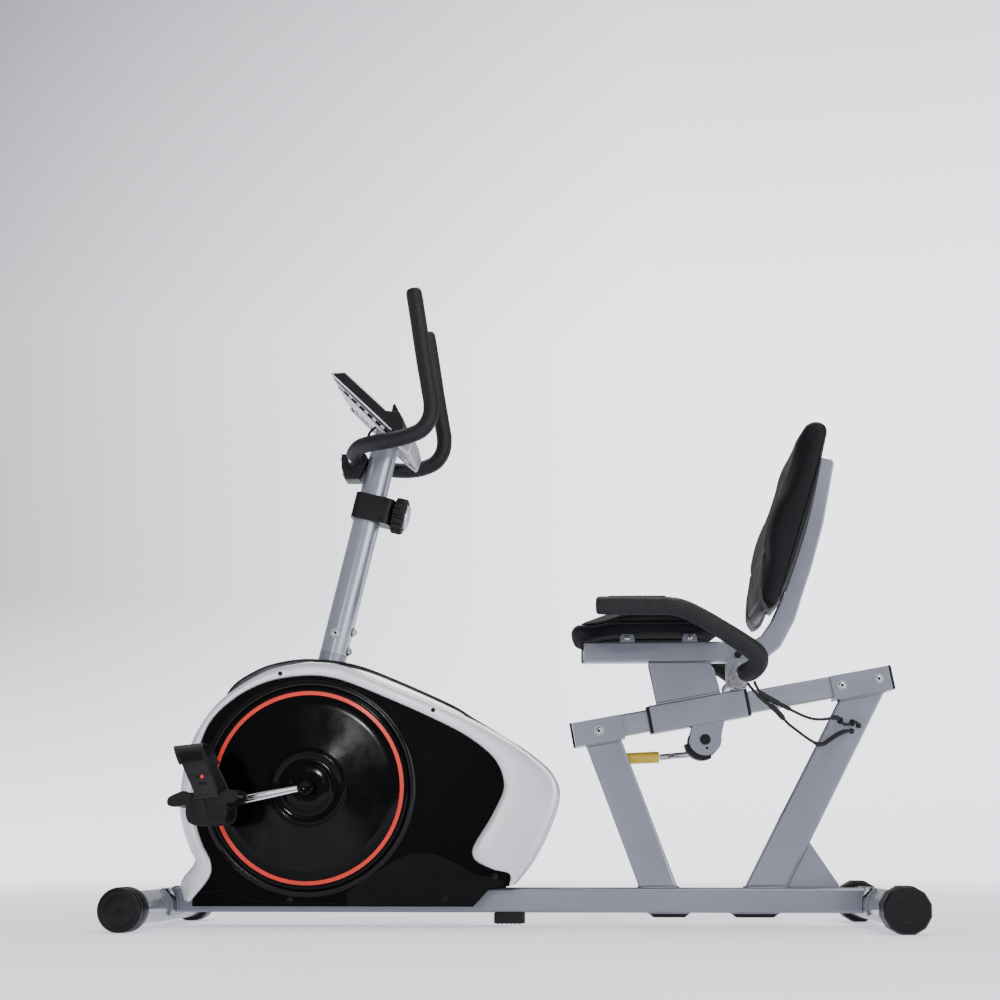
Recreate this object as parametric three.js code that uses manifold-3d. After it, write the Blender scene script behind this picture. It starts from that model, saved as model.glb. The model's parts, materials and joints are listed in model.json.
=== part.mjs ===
// Recumbent exercise bike. Millimetres, +Z up, floor at z = 0.
// The rider faces -X, the left side of the bike is -Y.
import * as THREE from 'three';
import { mergeVertices } from 'three/addons/utils/BufferGeometryUtils.js';
import Module from 'manifold-3d';

const wasm = await Module();
wasm.setup();

// ---------------------------------------------------------------- dimensions
const GAP = 0.3;                 // running gap between neighbouring parts
const BEAM = { w: 50, bottom: 26, top: 71 };
const FRONT_FOOT = { x: -665, z: 38, r: 30, half: 293, capR: 39, capEnd: 300 };
const REAR_FOOT = { x: 664, z: 40, r: 30, half: 293, capR: 41.5, capEnd: 300 };
const RAIL = { x: 400, z: 405.6, slope: 10.1, from: -297, to: 299 };
const WALL = 2.5;                // wall of the steel tubes
const SLEEVE = { from: -150, to: 28, outer: 26, inner: 22.6 };
const MAST = { x: -326, z: 600, lean: 13.3, r: 26, spigot: 22, seam: -95.6 };
const CRANK = { x: -380, z: 253, length: 165, angle: 11 };
const DISC_R = 186;
const PULLEY = { r: 80, y0: 28, y1: 40 };
const FLY = { x: -70, z: 205, r: 90, pulleyR: 20 };
const PEDAL = { y0: 152, y1: 248, tilt: 5 };
const GRIP_R = 16;
const BAR_GRIP_R = 15;
const CROSS = { x: 412, z: 450, r: 12.5 };   // bar that joins the two side handles
const SPINE_HALF = 31.5;
const RIM_FACE = 80;
const BACK_HALF = 188;

// ---------------------------------------------------------------- materials
const group = new THREE.Group();
group.name = 'exercise_bike';
const LOOK = {
  frame: ['#8f929f', 0.38, 0.55],
  silver: ['#bfc1c6', 0.35, 0.5],
  black: ['#1c1d20', 0.45, 0.0],
  gloss: ['#1b1c22', 0.15, 0.0],
  rubber: ['#232427', 0.85, 0.0],
  foam: ['#26272a', 0.9, 0.0],
  chrome: ['#d8d9dc', 0.12, 1.0],
  steel: ['#a7a9ad', 0.3, 1.0],
  iron: ['#55575c', 0.5, 0.9],
  yellow: ['#c1a93e', 0.5, 0.0],
  vinyl: ['#2d2e32', 0.6, 0.0],
  screen: ['#4c5a52', 0.2, 0.0],
  button: ['#c23a28', 0.4, 0.0],
};

function add(name, geometry, look) {
  const [color, roughness, metalness] = LOOK[look];
  const material = new THREE.MeshStandardMaterial({ color, roughness, metalness });
  const mesh = new THREE.Mesh(geometry, material);
  mesh.name = name;
  group.add(mesh);
}

// ---------------------------------------------------------------- solid tools
function weld(geometry) {
  const bare = new THREE.BufferGeometry();
  bare.setAttribute('position', geometry.getAttribute('position').clone());
  if (geometry.index) bare.setIndex(geometry.index.clone());
  const merged = mergeVertices(bare, 1e-3);
  const src = merged.index.array;
  const pos = merged.getAttribute('position');
  const keep = [];
  let volume = 0;
  for (let i = 0; i < src.length; i += 3) {
    const [a, b, c] = [src[i], src[i + 1], src[i + 2]];
    if (a === b || b === c || c === a) continue;
    keep.push(a, b, c);
    const p = new THREE.Vector3().fromBufferAttribute(pos, a);
    const q = new THREE.Vector3().fromBufferAttribute(pos, b);
    const r = new THREE.Vector3().fromBufferAttribute(pos, c);
    volume += p.dot(q.cross(r));
  }
  if (volume < 0) {
    for (let i = 0; i < keep.length; i += 3) {
      [keep[i + 1], keep[i + 2]] = [keep[i + 2], keep[i + 1]];
    }
  }
  merged.setIndex(keep);
  return merged;
}

function toManifold(geometry) {
  const g = weld(geometry);
  const mesh = new wasm.Mesh({
    numProp: 3,
    vertProperties: new Float32Array(g.getAttribute('position').array),
    triVerts: new Uint32Array(g.index.array),
  });
  return new wasm.Manifold(mesh);
}

function fromManifold(manifold) {
  const mesh = manifold.getMesh();
  const g = new THREE.BufferGeometry();
  g.setAttribute('position', new THREE.BufferAttribute(new Float32Array(mesh.vertProperties), 3));
  g.setIndex(new THREE.BufferAttribute(new Uint32Array(mesh.triVerts), 1));
  g.computeVertexNormals();
  return g;
}

function join(first, ...rest) {
  let m = toManifold(first);
  for (const g of rest) m = m.add(toManifold(g));
  return fromManifold(m);
}

function cut(first, ...rest) {
  let m = toManifold(first);
  for (const g of rest) m = m.subtract(toManifold(g));
  return fromManifold(m);
}

function keepInside(first, other) {
  return fromManifold(toManifold(first).intersect(toManifold(other)));
}

function box(x0, x1, y0, y1, z0, z1) {
  const g = new THREE.BoxGeometry(x1 - x0, y1 - y0, z1 - z0);
  return g.translate((x0 + x1) / 2, (y0 + y1) / 2, (z0 + z1) / 2);
}

function shapeOf(points) {
  return new THREE.Shape(points.map(([a, b]) => new THREE.Vector2(a, b)));
}

// Extrude an (a, b) outline; bevel rounds the long edges.
function extrude(points, depth, bevel = 0, segments = 2) {
  const options = { depth: depth - 2 * bevel, steps: 1, bevelEnabled: bevel > 0 };
  Object.assign(options, {
    bevelThickness: bevel, bevelSize: bevel, bevelOffset: -bevel, bevelSegments: segments,
  });
  const g = new THREE.ExtrudeGeometry(shapeOf(points), options);
  return g.translate(0, 0, bevel);
}

// Side outline in (x, z), running from y0 to y1.
function sidePrism(points, y0, y1, bevel = 0, segments = 2) {
  const g = extrude(points, y1 - y0, bevel, segments);
  return weld(g.rotateX(Math.PI / 2).translate(0, y1, 0));
}

// Section in (y, z), running from x0 to x1.
function longPrism(points, x0, x1, bevel = 0) {
  const turn = new THREE.Matrix4().makeBasis(
    new THREE.Vector3(0, 1, 0), new THREE.Vector3(0, 0, 1), new THREE.Vector3(1, 0, 0));
  return weld(extrude(points, x1 - x0, bevel).applyMatrix4(turn).translate(x0, 0, 0));
}

// Plan outline in (x, y), running from z0 to z1.
function planPrism(points, z0, z1, bevel = 0, segments = 3) {
  return weld(extrude(points, z1 - z0, bevel, segments).translate(0, 0, z0));
}

function roundRect(a0, a1, b0, b1, r, n = 3) {
  const corners = [[a1 - r, b1 - r, 0], [a0 + r, b1 - r, 90], [a0 + r, b0 + r, 180], [a1 - r, b0 + r, 270]];
  const out = [];
  for (const [a, b, start] of corners) {
    for (let i = 0; i <= n; i++) {
      const t = THREE.MathUtils.degToRad(start + 90 * i / n);
      out.push([a + r * Math.cos(t), b + r * Math.sin(t)]);
    }
  }
  return out;
}

function arc(cx, cz, r, from, to, n) {
  const out = [];
  for (let i = 0; i <= n; i++) {
    const t = THREE.MathUtils.degToRad(from + (to - from) * i / n);
    out.push([cx + r * Math.cos(t), cz + r * Math.sin(t)]);
  }
  return out;
}

function disc(cx, cz, r, n = 48) {
  return arc(cx, cz, r, 0, 360 - 360 / n, n - 1);
}

// Turned part about a line along Y through (x, z); profile is [radius, y].
function turned(profile, x, z, segments = 48) {
  const points = profile.map(([r, y]) => new THREE.Vector2(r, y));
  return weld(new THREE.LatheGeometry(points, segments).translate(x, 0, z));
}

function ring(profile, x, z, segments = 48) {
  return turned([...profile, profile[0]], x, z, segments);
}

function rodY(x, z, r, y0, y1, segments = 20) {
  return turned([[0, y0], [r, y0], [r, y1], [0, y1]], x, z, segments);
}

function smooth(points, count, closed = false) {
  const curve = new THREE.CatmullRomCurve3(
    points.map(([a, b]) => new THREE.Vector3(a, b, 0)), closed, 'centripetal');
  const list = curve.getSpacedPoints(count).map((p) => [p.x, p.y]);
  if (closed) list.pop();
  return list;
}

function curveOf(points) {
  return new THREE.CatmullRomCurve3(
    points.map(([x, y, z]) => new THREE.Vector3(x, y, z)), false, 'centripetal');
}

function span(curve, from, to, count) {
  const list = [];
  for (let i = 0; i <= count; i++) list.push(curve.getPointAt(from + (to - from) * i / count));
  return new THREE.CatmullRomCurve3(list, false, 'centripetal');
}

function tube(curve, r, steps, sides = 12) {
  const g = new THREE.ExtrudeGeometry(shapeOf(disc(0, 0, r, sides)), { steps, extrudePath: curve });
  return weld(g);
}

// Turn about Y: local +X swings up by the angle, about (x, z).
function swing(geometry, degrees, x, z) {
  return geometry.rotateY(THREE.MathUtils.degToRad(-degrees)).translate(x, 0, z);
}

function mirrorY(geometry) {
  return weld(geometry.clone().applyMatrix4(new THREE.Matrix4().makeScale(1, -1, 1)));
}

// Rail frame: s along the rail, n across it, both in the side view.
const railCos = Math.cos(THREE.MathUtils.degToRad(RAIL.slope));
const railSin = Math.sin(THREE.MathUtils.degToRad(RAIL.slope));
function onRail(s, n) {
  return [RAIL.x + s * railCos - n * railSin, RAIL.z + s * railSin + n * railCos];
}
function railBar(points, s0, s1, bevel = 0) {
  return swing(longPrism(points, s0, s1, bevel), RAIL.slope, RAIL.x, RAIL.z);
}

// ---------------------------------------------------------------- feet and base beam
function saddle(foot, side) {
  const start = side > 0 ? -32 : 112;
  const end = side > 0 ? 68 : 212;
  const outer = arc(foot.x, foot.z, foot.r + 5, start, end, 8);
  const inner = arc(foot.x, foot.z, foot.r + GAP, end, start, 8);
  return sidePrism([...outer, ...inner], -58, 58);
}
const beamBar = longPrism(roundRect(-25, 25, BEAM.bottom, BEAM.top, 5), FRONT_FOOT.x + 20, REAR_FOOT.x - 20);
const beamHollow = longPrism(roundRect(-22.5, 22.5, BEAM.bottom + WALL, BEAM.top - WALL, 4), -720, 720);
const weldTab = (x0, x1) => sidePrism(
  [[x0, BEAM.bottom + 1], [x0 + 11, 18], [x1 - 11, 18], [x1, BEAM.bottom + 1]], -16, 16);
const cheek = (y0, y1) => sidePrism(
  roundRect(FLY.x - 17, FLY.x + 17, BEAM.top - 2, FLY.z + 17, 12, 3), y0, y1);
const beam = cut(
  join(beamBar, saddle(FRONT_FOOT, 1), saddle(REAR_FOOT, -1), weldTab(241, 319), weldTab(392, 481)),
  beamHollow,
  rodY(FRONT_FOOT.x, FRONT_FOOT.z, FRONT_FOOT.r + GAP, -70, 70, 36),
  rodY(REAR_FOOT.x, REAR_FOOT.z, REAR_FOOT.r + GAP, -70, 70, 36));
const flyFoot = box(FLY.x - 26, FLY.x + 26, -24, 48, BEAM.top - 1, BEAM.top + 4);
const cheeks = join(flyFoot, cut(cheek(-22, -18), box(-200, 60, -50, 50, 60, BEAM.top + 2)),
  cut(cheek(44, 48), box(-200, 60, -50, 60, 60, BEAM.top + 2)),
  rodY(FLY.x, FLY.z, 6, -25, 51, 16));
add('base_beam', join(beam, cheeks), 'frame');
function footTube(foot) {
  const bore = foot.r - WALL;
  const profile = [[bore, -foot.half], [foot.r, -foot.half], [foot.r, foot.half], [bore, foot.half]];
  return ring(profile, foot.x, foot.z, 36);
}
add('front_foot_tube', footTube(FRONT_FOOT), 'frame');
add('rear_foot_tube', footTube(REAR_FOOT), 'frame');

function footCap(foot, sides, turnDeg) {
  const e = foot.capEnd;
  const bore = (foot.r + GAP) / Math.cos(Math.PI / sides);
  const profile = [[0, -e], [foot.capR - 6, -e], [foot.capR - 1.5, -e + 2], [foot.capR, -e + 6],
    [foot.capR, -e + 56], [foot.capR - 3, -e + 60], [bore, -e + 60], [bore, -e + 6.5],
    [0, -e + 6.5]];
  const g = turned(profile, 0, 0, sides);
  g.rotateY(THREE.MathUtils.degToRad(turnDeg));
  g.translate(foot.x, 0, foot.z);
  return cut(g, box(foot.x - 60, foot.x + 60, -320, -200, -20, 0));
}
const frontCap = footCap(FRONT_FOOT, 24, 0);
const rearCap = footCap(REAR_FOOT, 12, 15);
add('front_cap_left', frontCap, 'black');
add('front_cap_right', mirrorY(frontCap), 'black');
add('rear_cap_left', rearCap, 'black');
add('rear_cap_right', mirrorY(rearCap), 'black');
add('beam_pad', planPrism(roundRect(-41, 15, -24, 24, 5), 6, BEAM.bottom - GAP), 'rubber');

// ---------------------------------------------------------------- uprights and seat rail
const channel = (s0, s1) => railBar([[-25.3, 20], [-25.3, -25.3], [25.3, -25.3], [25.3, 20],
  [20.3, 20], [20.3, -20.3], [-20.3, -20.3], [-20.3, 20]], s0, s1);
// A leg and the hollow inside it: bottom edges x0 and x1, top edges s0 and s1 along the rail.
function leg(x0, x1, s0, s1, inset = 0) {
  const low = inset ? 60 : BEAM.top + GAP;
  const high = inset ? 0 : -24;
  const [a, b] = [onRail(s1, high), onRail(s0, high)];
  const outline = [[x0 + inset, low], [x1 - inset, low], [a[0] - inset, a[1]], [b[0] + inset, b[1]]];
  return inset ? sidePrism(outline, -15, 15, 5) : sidePrism(outline, -18, 18, 7);
}
const frontLeg = leg(226, 297, -279, -212);
const frontHollow = leg(226.5, 301.5, -279, -212, 4);
add('front_upright', join(cut(frontLeg, frontHollow), channel(RAIL.from, -204)), 'frame');
const rearLeg = leg(420, 497, 200, 286);
const rearHollow = leg(414, 491, 206, 292, 4);
const gussetFoot = BEAM.top + GAP;
const gusset = sidePrism([[484, gussetFoot], [592, gussetFoot], [592, 76], [541, 153], [526, 153]], -4, 4);
add('rear_upright', join(cut(rearLeg, rearHollow), cut(gusset, rearHollow), channel(190, RAIL.to)), 'frame');
const railBore = railBar(roundRect(-17.5, 17.5, -17.5, 17.5, 3), RAIL.from - 9, RAIL.to + 9);
add('seat_rail', cut(railBar(roundRect(-20, 20, -20, 20, 4), RAIL.from, RAIL.to), railBore), 'steel');
const railCap = roundRect(-25, 25, -25, 21, 5);
add('rail_cap_front', railBar(railCap, RAIL.from - 5, RAIL.from - GAP), 'black');
add('rail_cap_rear', railBar(railCap, RAIL.to + GAP, RAIL.to + 5), 'black');

// ---------------------------------------------------------------- mast
function onMast(geometry) {
  return geometry.rotateY(THREE.MathUtils.degToRad(MAST.lean)).translate(MAST.x, 0, MAST.z);
}
function mastRod(r, a, b, segments = 28) {
  const g = new THREE.CylinderGeometry(r, r, b - a, segments);
  return onMast(g.rotateX(Math.PI / 2).translate(0, 0, (a + b) / 2));
}
const shell = rodY(CRANK.x, CRANK.z, 21, -40, 26, 28);
const stub = cut(
  join(
    cut(join(mastRod(MAST.r, -570, MAST.seam - GAP), mastRod(MAST.spigot, MAST.seam - 5, -26)),
      mastRod(MAST.spigot - 3, -600, 0)),
    shell),
  box(-600, -300, -60, 60, -60, BEAM.top + GAP), rodY(CRANK.x, CRANK.z, 9, -60, 60));
add('mast_stub', stub, 'frame');
// The upper mast ends on the sloping back of the console: the plane x + z = 675.4.
const aboveConsole = sidePrism([[-500, 1175.4], [-60, 735.4], [-60, 1400], [-500, 1400]], -60, 60);
const mastBore = mastRod(MAST.spigot + GAP, MAST.seam - 2, 440);
add('mast', cut(mastRod(MAST.r, MAST.seam, 420), mastBore, aboveConsole), 'frame');
const collarBlock = onMast(planPrism(roundRect(-29.5, 46, -32, 32, 12), 167, 217));
add('tension_collar', cut(collarBlock, mastRod(MAST.r + GAP, 150, 240)), 'black');
const knobProfile = [[0, 0], [31, 0], [35, 3], [35, 22], [32, 26], [24, 27], [22, 31], [0, 31]];
const knob = new THREE.LatheGeometry(knobProfile.map(([r, y]) => new THREE.Vector2(r, y)), 28);
knob.rotateZ(-Math.PI / 2).translate(46.5, 0, 192);
add('tension_knob', weld(onMast(knob)), 'black');

// ---------------------------------------------------------------- handlebar and console
const barHalf = [[-313, 0, 872], [-313, -18, 873], [-310, -38, 879], [-304, -60, 885], [-291, -86, 890],
  [-270, -108, 891], [-243, -125, 891], [-216, -136, 893], [-190, -140, 899], [-168, -140, 910],
  [-154, -140, 931], [-151, -140, 957], [-156, -140, 990], [-166, -140, 1049], [-175, -140, 1108],
  [-186, -140, 1178]];
const barOther = barHalf.slice(1).map(([x, y, z]) => [x, -y, z]);
const barCurve = curveOf([...barHalf.slice().reverse(), ...barOther]);
add('handlebar_core', tube(span(barCurve, 0.452, 0.548, 10), 11, 14), 'chrome');
const gripLeft = tube(span(barCurve, 0, 0.45, 34), BAR_GRIP_R, 20);
add('grip_left', gripLeft, 'foam');
add('grip_right', mirrorY(gripLeft), 'foam');
const clampBlock = cut(
  sidePrism([[-335, 892], [-335, 866], [-328, 842], [-300, 842], [-284, 880], [-288, 892]], -26, 26, 4),
  mastRod(MAST.r + GAP, 150, 420), tube(span(barCurve, 0.44, 0.56, 12), 11 + 2 * GAP, 16));
add('bar_clamp', clampBlock, 'black');

const caseSide = [[-345, 1028], [-318, 1029], [-240, 955], [-214, 952], [-207, 939], [-207, 919],
  [-228, 915]];
const down = new THREE.Vector2(78, -74).normalize();
function onPanel(along, height) {
  return [-318 + along * down.x - height * down.y, 1029 + along * down.y + height * down.x];
}
function panelBlock(a0, a1, h0, h1, y0, y1) {
  return sidePrism([onPanel(a0, h0), onPanel(a1, h0), onPanel(a1, h1), onPanel(a0, h1)], y0, y1);
}
const lip = sidePrism([[-236, 950], [-216, 950], [-219, 962], [-227, 978], [-231, 976]], -70, 70);
let consoleCase = join(sidePrism(caseSide, -110, 110, 3, 2), lip);
consoleCase = cut(consoleCase, panelBlock(12, 70, -3, 4, -72, 72));
const BUTTONS = [-34, 0, 34];
function buttonAt(y, r, h0, h1) {
  const g = new THREE.CylinderGeometry(r, r, h1 - h0, 20);
  const [x, z] = onPanel(83, (h0 + h1) / 2);
  return g.rotateX(Math.PI / 2).rotateY(Math.atan2(-down.y, down.x)).translate(x, y, z);
}
for (const y of BUTTONS) consoleCase = cut(consoleCase, buttonAt(y, 7.4, -7, 4));
add('console_case', consoleCase, 'black');
add('console_screen', panelBlock(12.3, 69.7, -2.7, -0.6, -71.7, 71.7), 'screen');
BUTTONS.forEach((y, i) => add(`console_button_${i + 1}`, buttonAt(y, 7, -4, 2), 'button'));
const backShell = [[-342, 1024.4], [-334, 1010.3], [-232, 909], [-198, 880], [-191, 900], [-195, 921],
  [-206.4, 918.3], [-228.1, 914.2]];
add('console_back', sidePrism(backShell, -82, 82, 1.5, 2), 'silver');

// ---------------------------------------------------------------- shroud
const rimOuter = smooth([[-601, 38], [-612, 81], [-588, 117], [-597, 141], [-612, 183], [-618, 224],
  [-612, 290], [-593, 350], [-557, 404], [-515, 439], [-460, 469], [-405, 482], [-370, 485], [-315, 477], [-238, 445],
  [-154, 411], [-83, 380], [-6, 338], [41, 305], [71, 275], [80, 240], [65, 187], [36, 128], [6, 87],
  [-14, 68]], 36);
const rimInner = smooth([[-601, 38], [-561, 87], [-557, 117], [-574, 152], [-586, 188], [-591, 230],
  [-589, 300], [-574, 356], [-550, 392], [-506, 427], [-453, 450], [-393, 459], [-344, 456], [-297, 442],
  [-213, 407], [-153, 380], [-94, 350], [-48, 316], [-27, 287], [-20, 257], [-27, 232], [-48, 192],
  [-73, 152], [-78, 134], [-70, 119], [-38, 104], [-9, 96], [-14, 68]], 36);

// Move every point of an open line sideways; positive goes to the right of travel.
function shifted(points, distance) {
  return points.map((p, i) => {
    const a = points[Math.max(i - 1, 0)];
    const b = points[Math.min(i + 1, points.length - 1)];
    const dx = b[0] - a[0];
    const dz = b[1] - a[1];
    const len = Math.hypot(dx, dz);
    return [p[0] + distance * dz / len, p[1] - distance * dx / len];
  });
}
const rimSolid = sidePrism([...rimOuter, ...rimInner.slice(1, -1).reverse()],
  -RIM_FACE, -SPINE_HALF - GAP);
const hollowEdge = [...shifted(rimOuter, 3).slice(2, -2), ...rimInner.slice(2, -2).reverse()];
const rimHollow = sidePrism(hollowEdge, -76.5, -20);
const wallEdge = [...shifted(rimInner, -2.5).slice(1, -1), ...shifted(rimInner, 0).slice(1, -1).reverse()];
const innerWall = sidePrism(wallEdge, -77, -60);
const mastHole = mastRod(MAST.r + 0.8, -400, 0);
const rimLeft = cut(join(cut(rimSolid, rimHollow), keepInside(innerWall, rimSolid)), mastHole,
  box(-700, 200, -25, 25, 0, BEAM.top + 0.6), box(-300, 60, -90, -20, 0, 30));
add('shroud_rim_left', rimLeft, 'silver');
add('shroud_rim_right', mirrorY(rimLeft), 'silver');
const panelEdge = shifted(rimInner, 0.6).slice(2, -2);
const panelOutline = [[-590, 38], ...panelEdge, [-17, 72], [-48, 68], [-76, 38]];
const panelLeft = cut(sidePrism(panelOutline, -75, -70), rodY(CRANK.x, CRANK.z, 14, -90, -60));
add('side_panel_left', panelLeft, 'black');
add('side_panel_right', mirrorY(panelLeft), 'black');
const spineOuter = smooth([[-606, 84], [-584, 117], [-592, 141], [-607, 183], [-613, 224], [-607, 290],
  [-589, 352], [-556, 410], [-534, 446], [-500, 470], [-455, 488], [-389, 496], [-304, 485], [-223, 455],
  [-119, 408], [-80, 384], [-8, 340], [37, 305], [66, 273], [75, 240], [60, 187], [32, 130], [4, 92]], 36);
const spineInner = shifted(spineOuter, 4);
const spine = cut(sidePrism([...spineOuter, ...spineInner.reverse()], -SPINE_HALF, SPINE_HALF), mastHole,
  box(-700, 200, -40, 40, 0, BEAM.top + 0.6));
add('shroud_spine', spine, 'black');

// ---------------------------------------------------------------- drive
const pulleyProfile = [[0, PULLEY.y0 - 1.5], [20, PULLEY.y0 - 1.5], [20, PULLEY.y0],
  [PULLEY.r, PULLEY.y0], [PULLEY.r, PULLEY.y1], [0, PULLEY.y1]];
const axle = join(rodY(CRANK.x, CRANK.z, 8.5, -88.7, 88.7, 32),
  turned(pulleyProfile, CRANK.x, CRANK.z, 36));
add('crank_axle', axle, 'iron');
function beltLoop(extra) {
  const dx = FLY.x - CRANK.x;
  const dz = FLY.z - CRANK.z;
  const across = THREE.MathUtils.radToDeg(Math.atan2(dz, dx));
  const spread = THREE.MathUtils.radToDeg(Math.acos((PULLEY.r - FLY.pulleyR) / Math.hypot(dx, dz)));
  const big = arc(CRANK.x, CRANK.z, PULLEY.r + extra, across + spread, across + 360 - spread, 24);
  const small = arc(FLY.x, FLY.z, FLY.pulleyR + extra, across - spread, across + spread, 8);
  return [...big, ...small];
}
add('drive_belt', cut(sidePrism(beltLoop(3.5), PULLEY.y0 + 2, PULLEY.y1 - 2),
  sidePrism(beltLoop(GAP), PULLEY.y0, PULLEY.y1)), 'rubber');
const flyProfile = [[6.4, -15], [22, -15], [22, -10], [70, -8], [70, -14], [FLY.r, -14], [FLY.r, 10],
  [70, 10], [70, 4], [22, 6], [15, 27], [FLY.pulleyR, 28], [FLY.pulleyR, 40], [6.4, 40]];
add('flywheel', ring(flyProfile, FLY.x, FLY.z, 28), 'iron');
const magnetShape = [...arc(FLY.x, FLY.z, FLY.r + 14, -78, 0, 16),
  ...arc(FLY.x, FLY.z, FLY.r + 4, 0, -78, 16)];
add('magnet_arm', sidePrism(magnetShape, -14, 10), 'steel');

const discProfile = [[8.9, -77], [DISC_R, -77], [DISC_R, -80.5], [DISC_R - 4, -82], [72, -82], [68, -85],
  [42, -85], [40, -88.4], [8.9, -88.4]];
const discLeft = ring(discProfile, CRANK.x, CRANK.z, 40);
add('crank_disc_left', discLeft, 'gloss');
add('crank_disc_right', mirrorY(discLeft), 'gloss');
const armOutline = [...arc(0, 0, 10, 90, 270, 16), ...arc(CRANK.length, 0, 9, -90, 90, 12)];
function crankArm() {
  return join(sidePrism(armOutline, -106, -93, 3, 2), rodY(0, 0, 16, -111, -89, 28),
    rodY(CRANK.length, 0, 12.5, -111, -92, 24), rodY(CRANK.length, 0, 8, -236, -100, 24));
}
add('crank_arm_left', weld(swing(crankArm(), 180 + CRANK.angle, CRANK.x, CRANK.z)), 'chrome');
add('crank_arm_right', mirrorY(swing(crankArm(), CRANK.angle, CRANK.x, CRANK.z)), 'chrome');

const pedalSide = [[-68, 4], [-62, 16], [-30, 12], [-22, 16], [22, 16], [30, 12], [62, 16], [68, 4],
  [66, -8], [56, -11], [34, -12], [31, -34], [24, -42], [-24, -42], [-31, -34], [-34, -12], [-56, -11], [-66, -8]];
function pedalBody() {
  return cut(sidePrism(pedalSide, -PEDAL.y1, -PEDAL.y0, 4, 2), rodY(0, 0, 8 + GAP, -242, -100, 24));
}
// The strap is an arch over the foot, leaning forward as it rises.
function strapBand() {
  const mid = -(PEDAL.y0 + PEDAL.y1) / 2;
  const half = (PEDAL.y1 - PEDAL.y0) / 2 + GAP;
  const line = [];
  for (let i = 0; i <= 20; i++) {
    const t = Math.PI * i / 20;
    const c = Math.cos(t);
    line.push([c, Math.sin(t)]);
  }
  const shape = (extra) => line.map(([c, s]) => {
    const squareness = Math.sign(c) * Math.abs(c) ** 0.45;
    return [mid + (half + extra) * squareness, 40 + (62 + extra) * s ** 0.8];
  });
  const outer = [[mid + half + 3.5, 10], ...shape(3.5), [mid - half - 3.5, 10]];
  const inner = [[mid - half, 10], ...shape(0).reverse(), [mid + half, 10]];
  const g = longPrism([...outer, ...inner], -24, 24);
  const pos = g.getAttribute('position');
  for (let i = 0; i < pos.count; i++) {
    const lift = Math.max(pos.getZ(i) - 20, 0);
    pos.setX(i, pos.getX(i) - 0.42 * lift);
  }
  return g;
}
const armEnd = (angle) => {
  const t = THREE.MathUtils.degToRad(angle);
  return [CRANK.x + CRANK.length * Math.cos(t), CRANK.z + CRANK.length * Math.sin(t)];
};
const leftEnd = armEnd(180 + CRANK.angle);
const rightEnd = armEnd(CRANK.angle);
add('pedal_left', weld(swing(pedalBody(), PEDAL.tilt, ...leftEnd)), 'black');
add('pedal_strap_left', weld(swing(strapBand(), PEDAL.tilt, ...leftEnd)), 'rubber');
add('pedal_right', mirrorY(swing(pedalBody(), PEDAL.tilt, ...rightEnd)), 'black');
add('pedal_strap_right', mirrorY(swing(strapBand(), PEDAL.tilt, ...rightEnd)), 'rubber');

// ---------------------------------------------------------------- carriage
const sleeveOutside = roundRect(-SLEEVE.outer, SLEEVE.outer, -SLEEVE.outer, SLEEVE.outer, 4);
const sleeveInside = roundRect(-SLEEVE.inner, SLEEVE.inner, -SLEEVE.inner, SLEEVE.inner, 2);
const sleeveTube = cut(railBar(sleeveOutside, SLEEVE.from, SLEEVE.to), railBar(sleeveInside, -200, 80));
const LOCK = { x: 351, z: 342 };
const earOutline = [onRail(-78, -25), ...arc(LOCK.x, LOCK.z + 1, 30.5, 190, 370, 24), onRail(-17, -25)];
const ear = (y0, y1) => cut(sidePrism(earOutline, y0, y1), rodY(LOCK.x, LOCK.z, 6.3, -40, 40, 24));
add('carriage_sleeve', join(sleeveTube, ear(-25.5, -21.5), ear(21.5, 25.5)), 'frame');
const linerShape = roundRect(-25, 25, -25, 25, 4);
const linerBore = railBar(roundRect(-20.5, 20.5, -20.5, 20.5, 4), -200, 80);
add('sleeve_liner_front', cut(railBar(linerShape, SLEEVE.from - 6, SLEEVE.from - GAP), linerBore), 'black');
add('sleeve_liner_rear', cut(railBar(linerShape, SLEEVE.to + GAP, SLEEVE.to + 6), linerBore), 'black');
const stemOuter = sidePrism([onRail(-134, SLEEVE.outer + GAP), onRail(-15, SLEEVE.outer + GAP), [370, 474],
  [358, 486.7], [248, 486.7]], -27, 27, 3);
const stemInner = sidePrism([[200, 380], onRail(-20, 18), [365, 472], [355, 482.5], [200, 482.5]], -23, 23);
add('seat_stem', cut(stemOuter, stemInner), 'frame');

const seatTubeSide = [[126, 487.2], [432, 487.2], [468, 493.5], [495, 515], [522, 563], [534, 600],
  [556, 663], [581, 749], [604, 864], [600, 872], [575, 876], [555, 783], [532, 700], [499, 607],
  [479, 564], [458, 535], [440, 525.5], [126, 525.5]];
function tab(x0, x1) {
  const side = [[x0, 525], [x1, 525], [x1 - 1, 536], [x1 - 4, 540], [x0 + 4, 540], [x0 + 1, 536]];
  return join(sidePrism(side, -20, -16.5), sidePrism(side, 16.5, 20));
}
const barHolder = cut(box(394, 430, -27, 27, 438.5, 492), rodY(CROSS.x, CROSS.z, CROSS.r + GAP, -60, 60));
const seatTubeBody = join(sidePrism(seatTubeSide, -20, 20, 4), tab(195, 223), tab(312, 340), barHolder);
const seatTubeBore = sidePrism([[120, 490.2], [431, 490.2], [464, 497.5], [490, 518], [518.5, 564],
  [530.5, 601], [552.5, 664], [577.5, 750], [602, 886], [578, 886], [558, 782], [535, 699], [502, 606],
  [482, 562.5], [460, 532], [441, 522.5], [120, 522.5]], -17, 17, 2);
add('seat_tube', cut(seatTubeBody, seatTubeBore), 'frame');

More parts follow.
